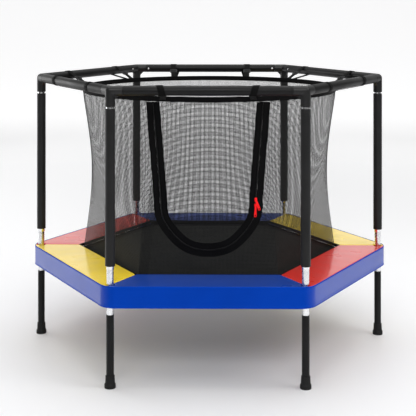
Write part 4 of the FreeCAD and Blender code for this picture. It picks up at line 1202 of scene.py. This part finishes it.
piece("strapBuckles", atStraps(buckles), "buckle", stands=("strap_buckles",), sharp=50)
for name in ("upper", "lower"):
    swing = next(joint for joint in frame["joints"] if joint["name"] == f"{name}_pull_swing")
    pivot = np.array(swing["pos_m"])
    reach = np.array([-1, 1]) * zipParts.length / 2
    ends = netFront(zipAcross(pivot[2] + reach), pivot[2] + reach)
    across = netFront(zipAcross(pivot[2]) + reach, pivot[[2, 2]])
    inward = unit(np.cross(ends[1] - ends[0], across[1] - across[0]))
    axes = framed(across[1] - across[0], inward)
    seat = pivot + axes[:, 2] * zipParts.pin
    piece(f"slider_{name}", [moved(p, seat, matrix=axes) for p in sliderParts()], "zipRed",
          f"{name}_slider", stands=(f"zip_slider_{name}",), sharp=50)
    axes = framed(-np.array(swing["axis"]), inward)
    piece(f"pull_{name}", [moved(p, pivot, matrix=axes) for p in pullParts()], "zipRed",
          f"{name}_pull", stands=(f"zip_pull_{name}",), sharp=50)
print("buckles and zip pulls done")

# Floor, light and camera

# glow and right are painted light and painted shade on the floor
studio = Sizes(
    floor=(0.75, 0.75, 0.757), reach=9.0, bend=3.0, wall=1.7, half=14.0, glowCentre=3.0,
    glow=(0.075, 0.5), glowReach=(5.0, 12.0), right=(1.0, 0.25), rightReach=(3.5, 6.5), horizon=0.10,
    zenith=0.74, seen=0.96, domeFrom=0.15, domeTo=0.85)


def floorPaint():
    # Painted light on the floor: an emitted glow, faint near the object and brighter further out, and painted
    # shade that dims that glow toward the right
    paint = Paint("paleFloor", studio.floor, 0.55)
    x, y = paint.parts(paint.place())[:2]
    behind = y + studio.glowCentre
    away = (x * x + behind * behind).math("SQRT")
    glow = paint.between(away, *studio.glow, *studio.glowReach, "SMOOTHSTEP")
    # Painted shade: the glow falls to a quarter toward the right
    right = paint.between(x, *studio.right, *studio.rightReach, "SMOOTHSTEP")
    return paint.set({"Emission Strength": 1.0, "Emission Color": glow * right})


def backdrop():
    # A floor that rises far behind in a wide curve to a low wall
    reach, bend = studio.reach, studio.bend
    e = np.linspace(0, math.acos(1 - studio.wall / bend), 20)
    y = np.concatenate([[-reach, 0.0], reach + bend * np.sin(e)])[:, None]
    z = np.concatenate([[0.0, 0.0], bend * (1 - np.cos(e))])[:, None]
    mesh = meshOf("backdrop", [grid(columns(np.array([-studio.half, studio.half]), y, z))])
    mesh.flip_normals()
    smoothed(mesh).materials.append(floorPaint())
    placed("backdrop", mesh)


def softbox(name, place, target, size, power):
    light = bpy.data.lights.new(name, "AREA")
    light.shape = "RECTANGLE"
    light.size, light.size_y = size
    light.energy = power
    made = placed(name, light)
    made.location = place
    made.rotation_euler = (Vector(target) - Vector(place)).to_track_quat("-Z", "Y").to_euler()
    made.visible_camera = False


def dome():
    # Dim at the horizon and bright overhead, and plain pale where it is seen past the floor
    world = bpy.data.worlds.new("studio")
    bpy.context.scene.world = world
    world.use_nodes = True
    nodes, links = world.node_tree.nodes, world.node_tree.links
    up = nodes.new("ShaderNodeSeparateXYZ")
    links.new(nodes.new("ShaderNodeTexCoord").outputs["Generated"], up.inputs[0])
    rise = nodes.new("ShaderNodeMapRange")
    rise.interpolation_type = "SMOOTHSTEP"
    for name, value in (("From Min", studio.domeFrom), ("From Max", studio.domeTo),
                        ("To Min", studio.horizon), ("To Max", studio.zenith)):
        rise.inputs[name].default_value = value
    links.new(up.outputs["Z"], rise.inputs["Value"])
    nodes["Background"].inputs["Color"].default_value = (1.0, 1.0, 1.0, 1.0)
    shown = nodes.new("ShaderNodeMix")
    links.new(nodes.new("ShaderNodeLightPath").outputs["Is Camera Ray"], shown.inputs[0])
    links.new(rise.outputs[0], shown.inputs[2])
    shown.inputs[3].default_value = studio.seen
    links.new(shown.outputs[0], nodes["Background"].inputs["Strength"])


backdrop()
softbox("topLight", (0, 0.6, 4.2), (0, 0, 0), (5.0, 4.0), 100)
softbox("leftLight", (-4.2, 2.1, 1.3), (0, 0, 0.6), (2.4, 2.0), 50)
softbox("rightLight", (3.5, -1.5, 3.5), (0, 0, 0.4), (2.4, 2.0), 52)
softbox("frontLight", (0, -5.5, 4.0), (0, 0, 0.4), (4.0, 2.0), 135)
softbox("backLight_left", (-2.7, 5.0, 1.9), (0, 0, 0.4), (3.6, 1.6), 16)
softbox("backLight_right", (2.7, 5.0, 1.9), (0, 0, 0.4), (3.6, 1.6), 16)
dome()

view = Sizes(place=(0.0366, -4.312, 1.3913), turn=0.5913, lens=89.62, sensor=36.0, shift=(0.0016, -0.502))
camera = bpy.data.cameras.new("photoCamera")
camera.lens, camera.sensor_width = view.lens, view.sensor
camera.shift_x, camera.shift_y = view.shift
camera.clip_end = 60
cameraObject = placed("photoCamera", camera)
cameraObject.location = view.place
cameraObject.rotation_euler = (pi / 2, 0, math.radians(view.turn))
bpy.context.scene.camera = cameraObject
bpy.context.scene.view_settings.view_transform = "Standard"
print("studio done")
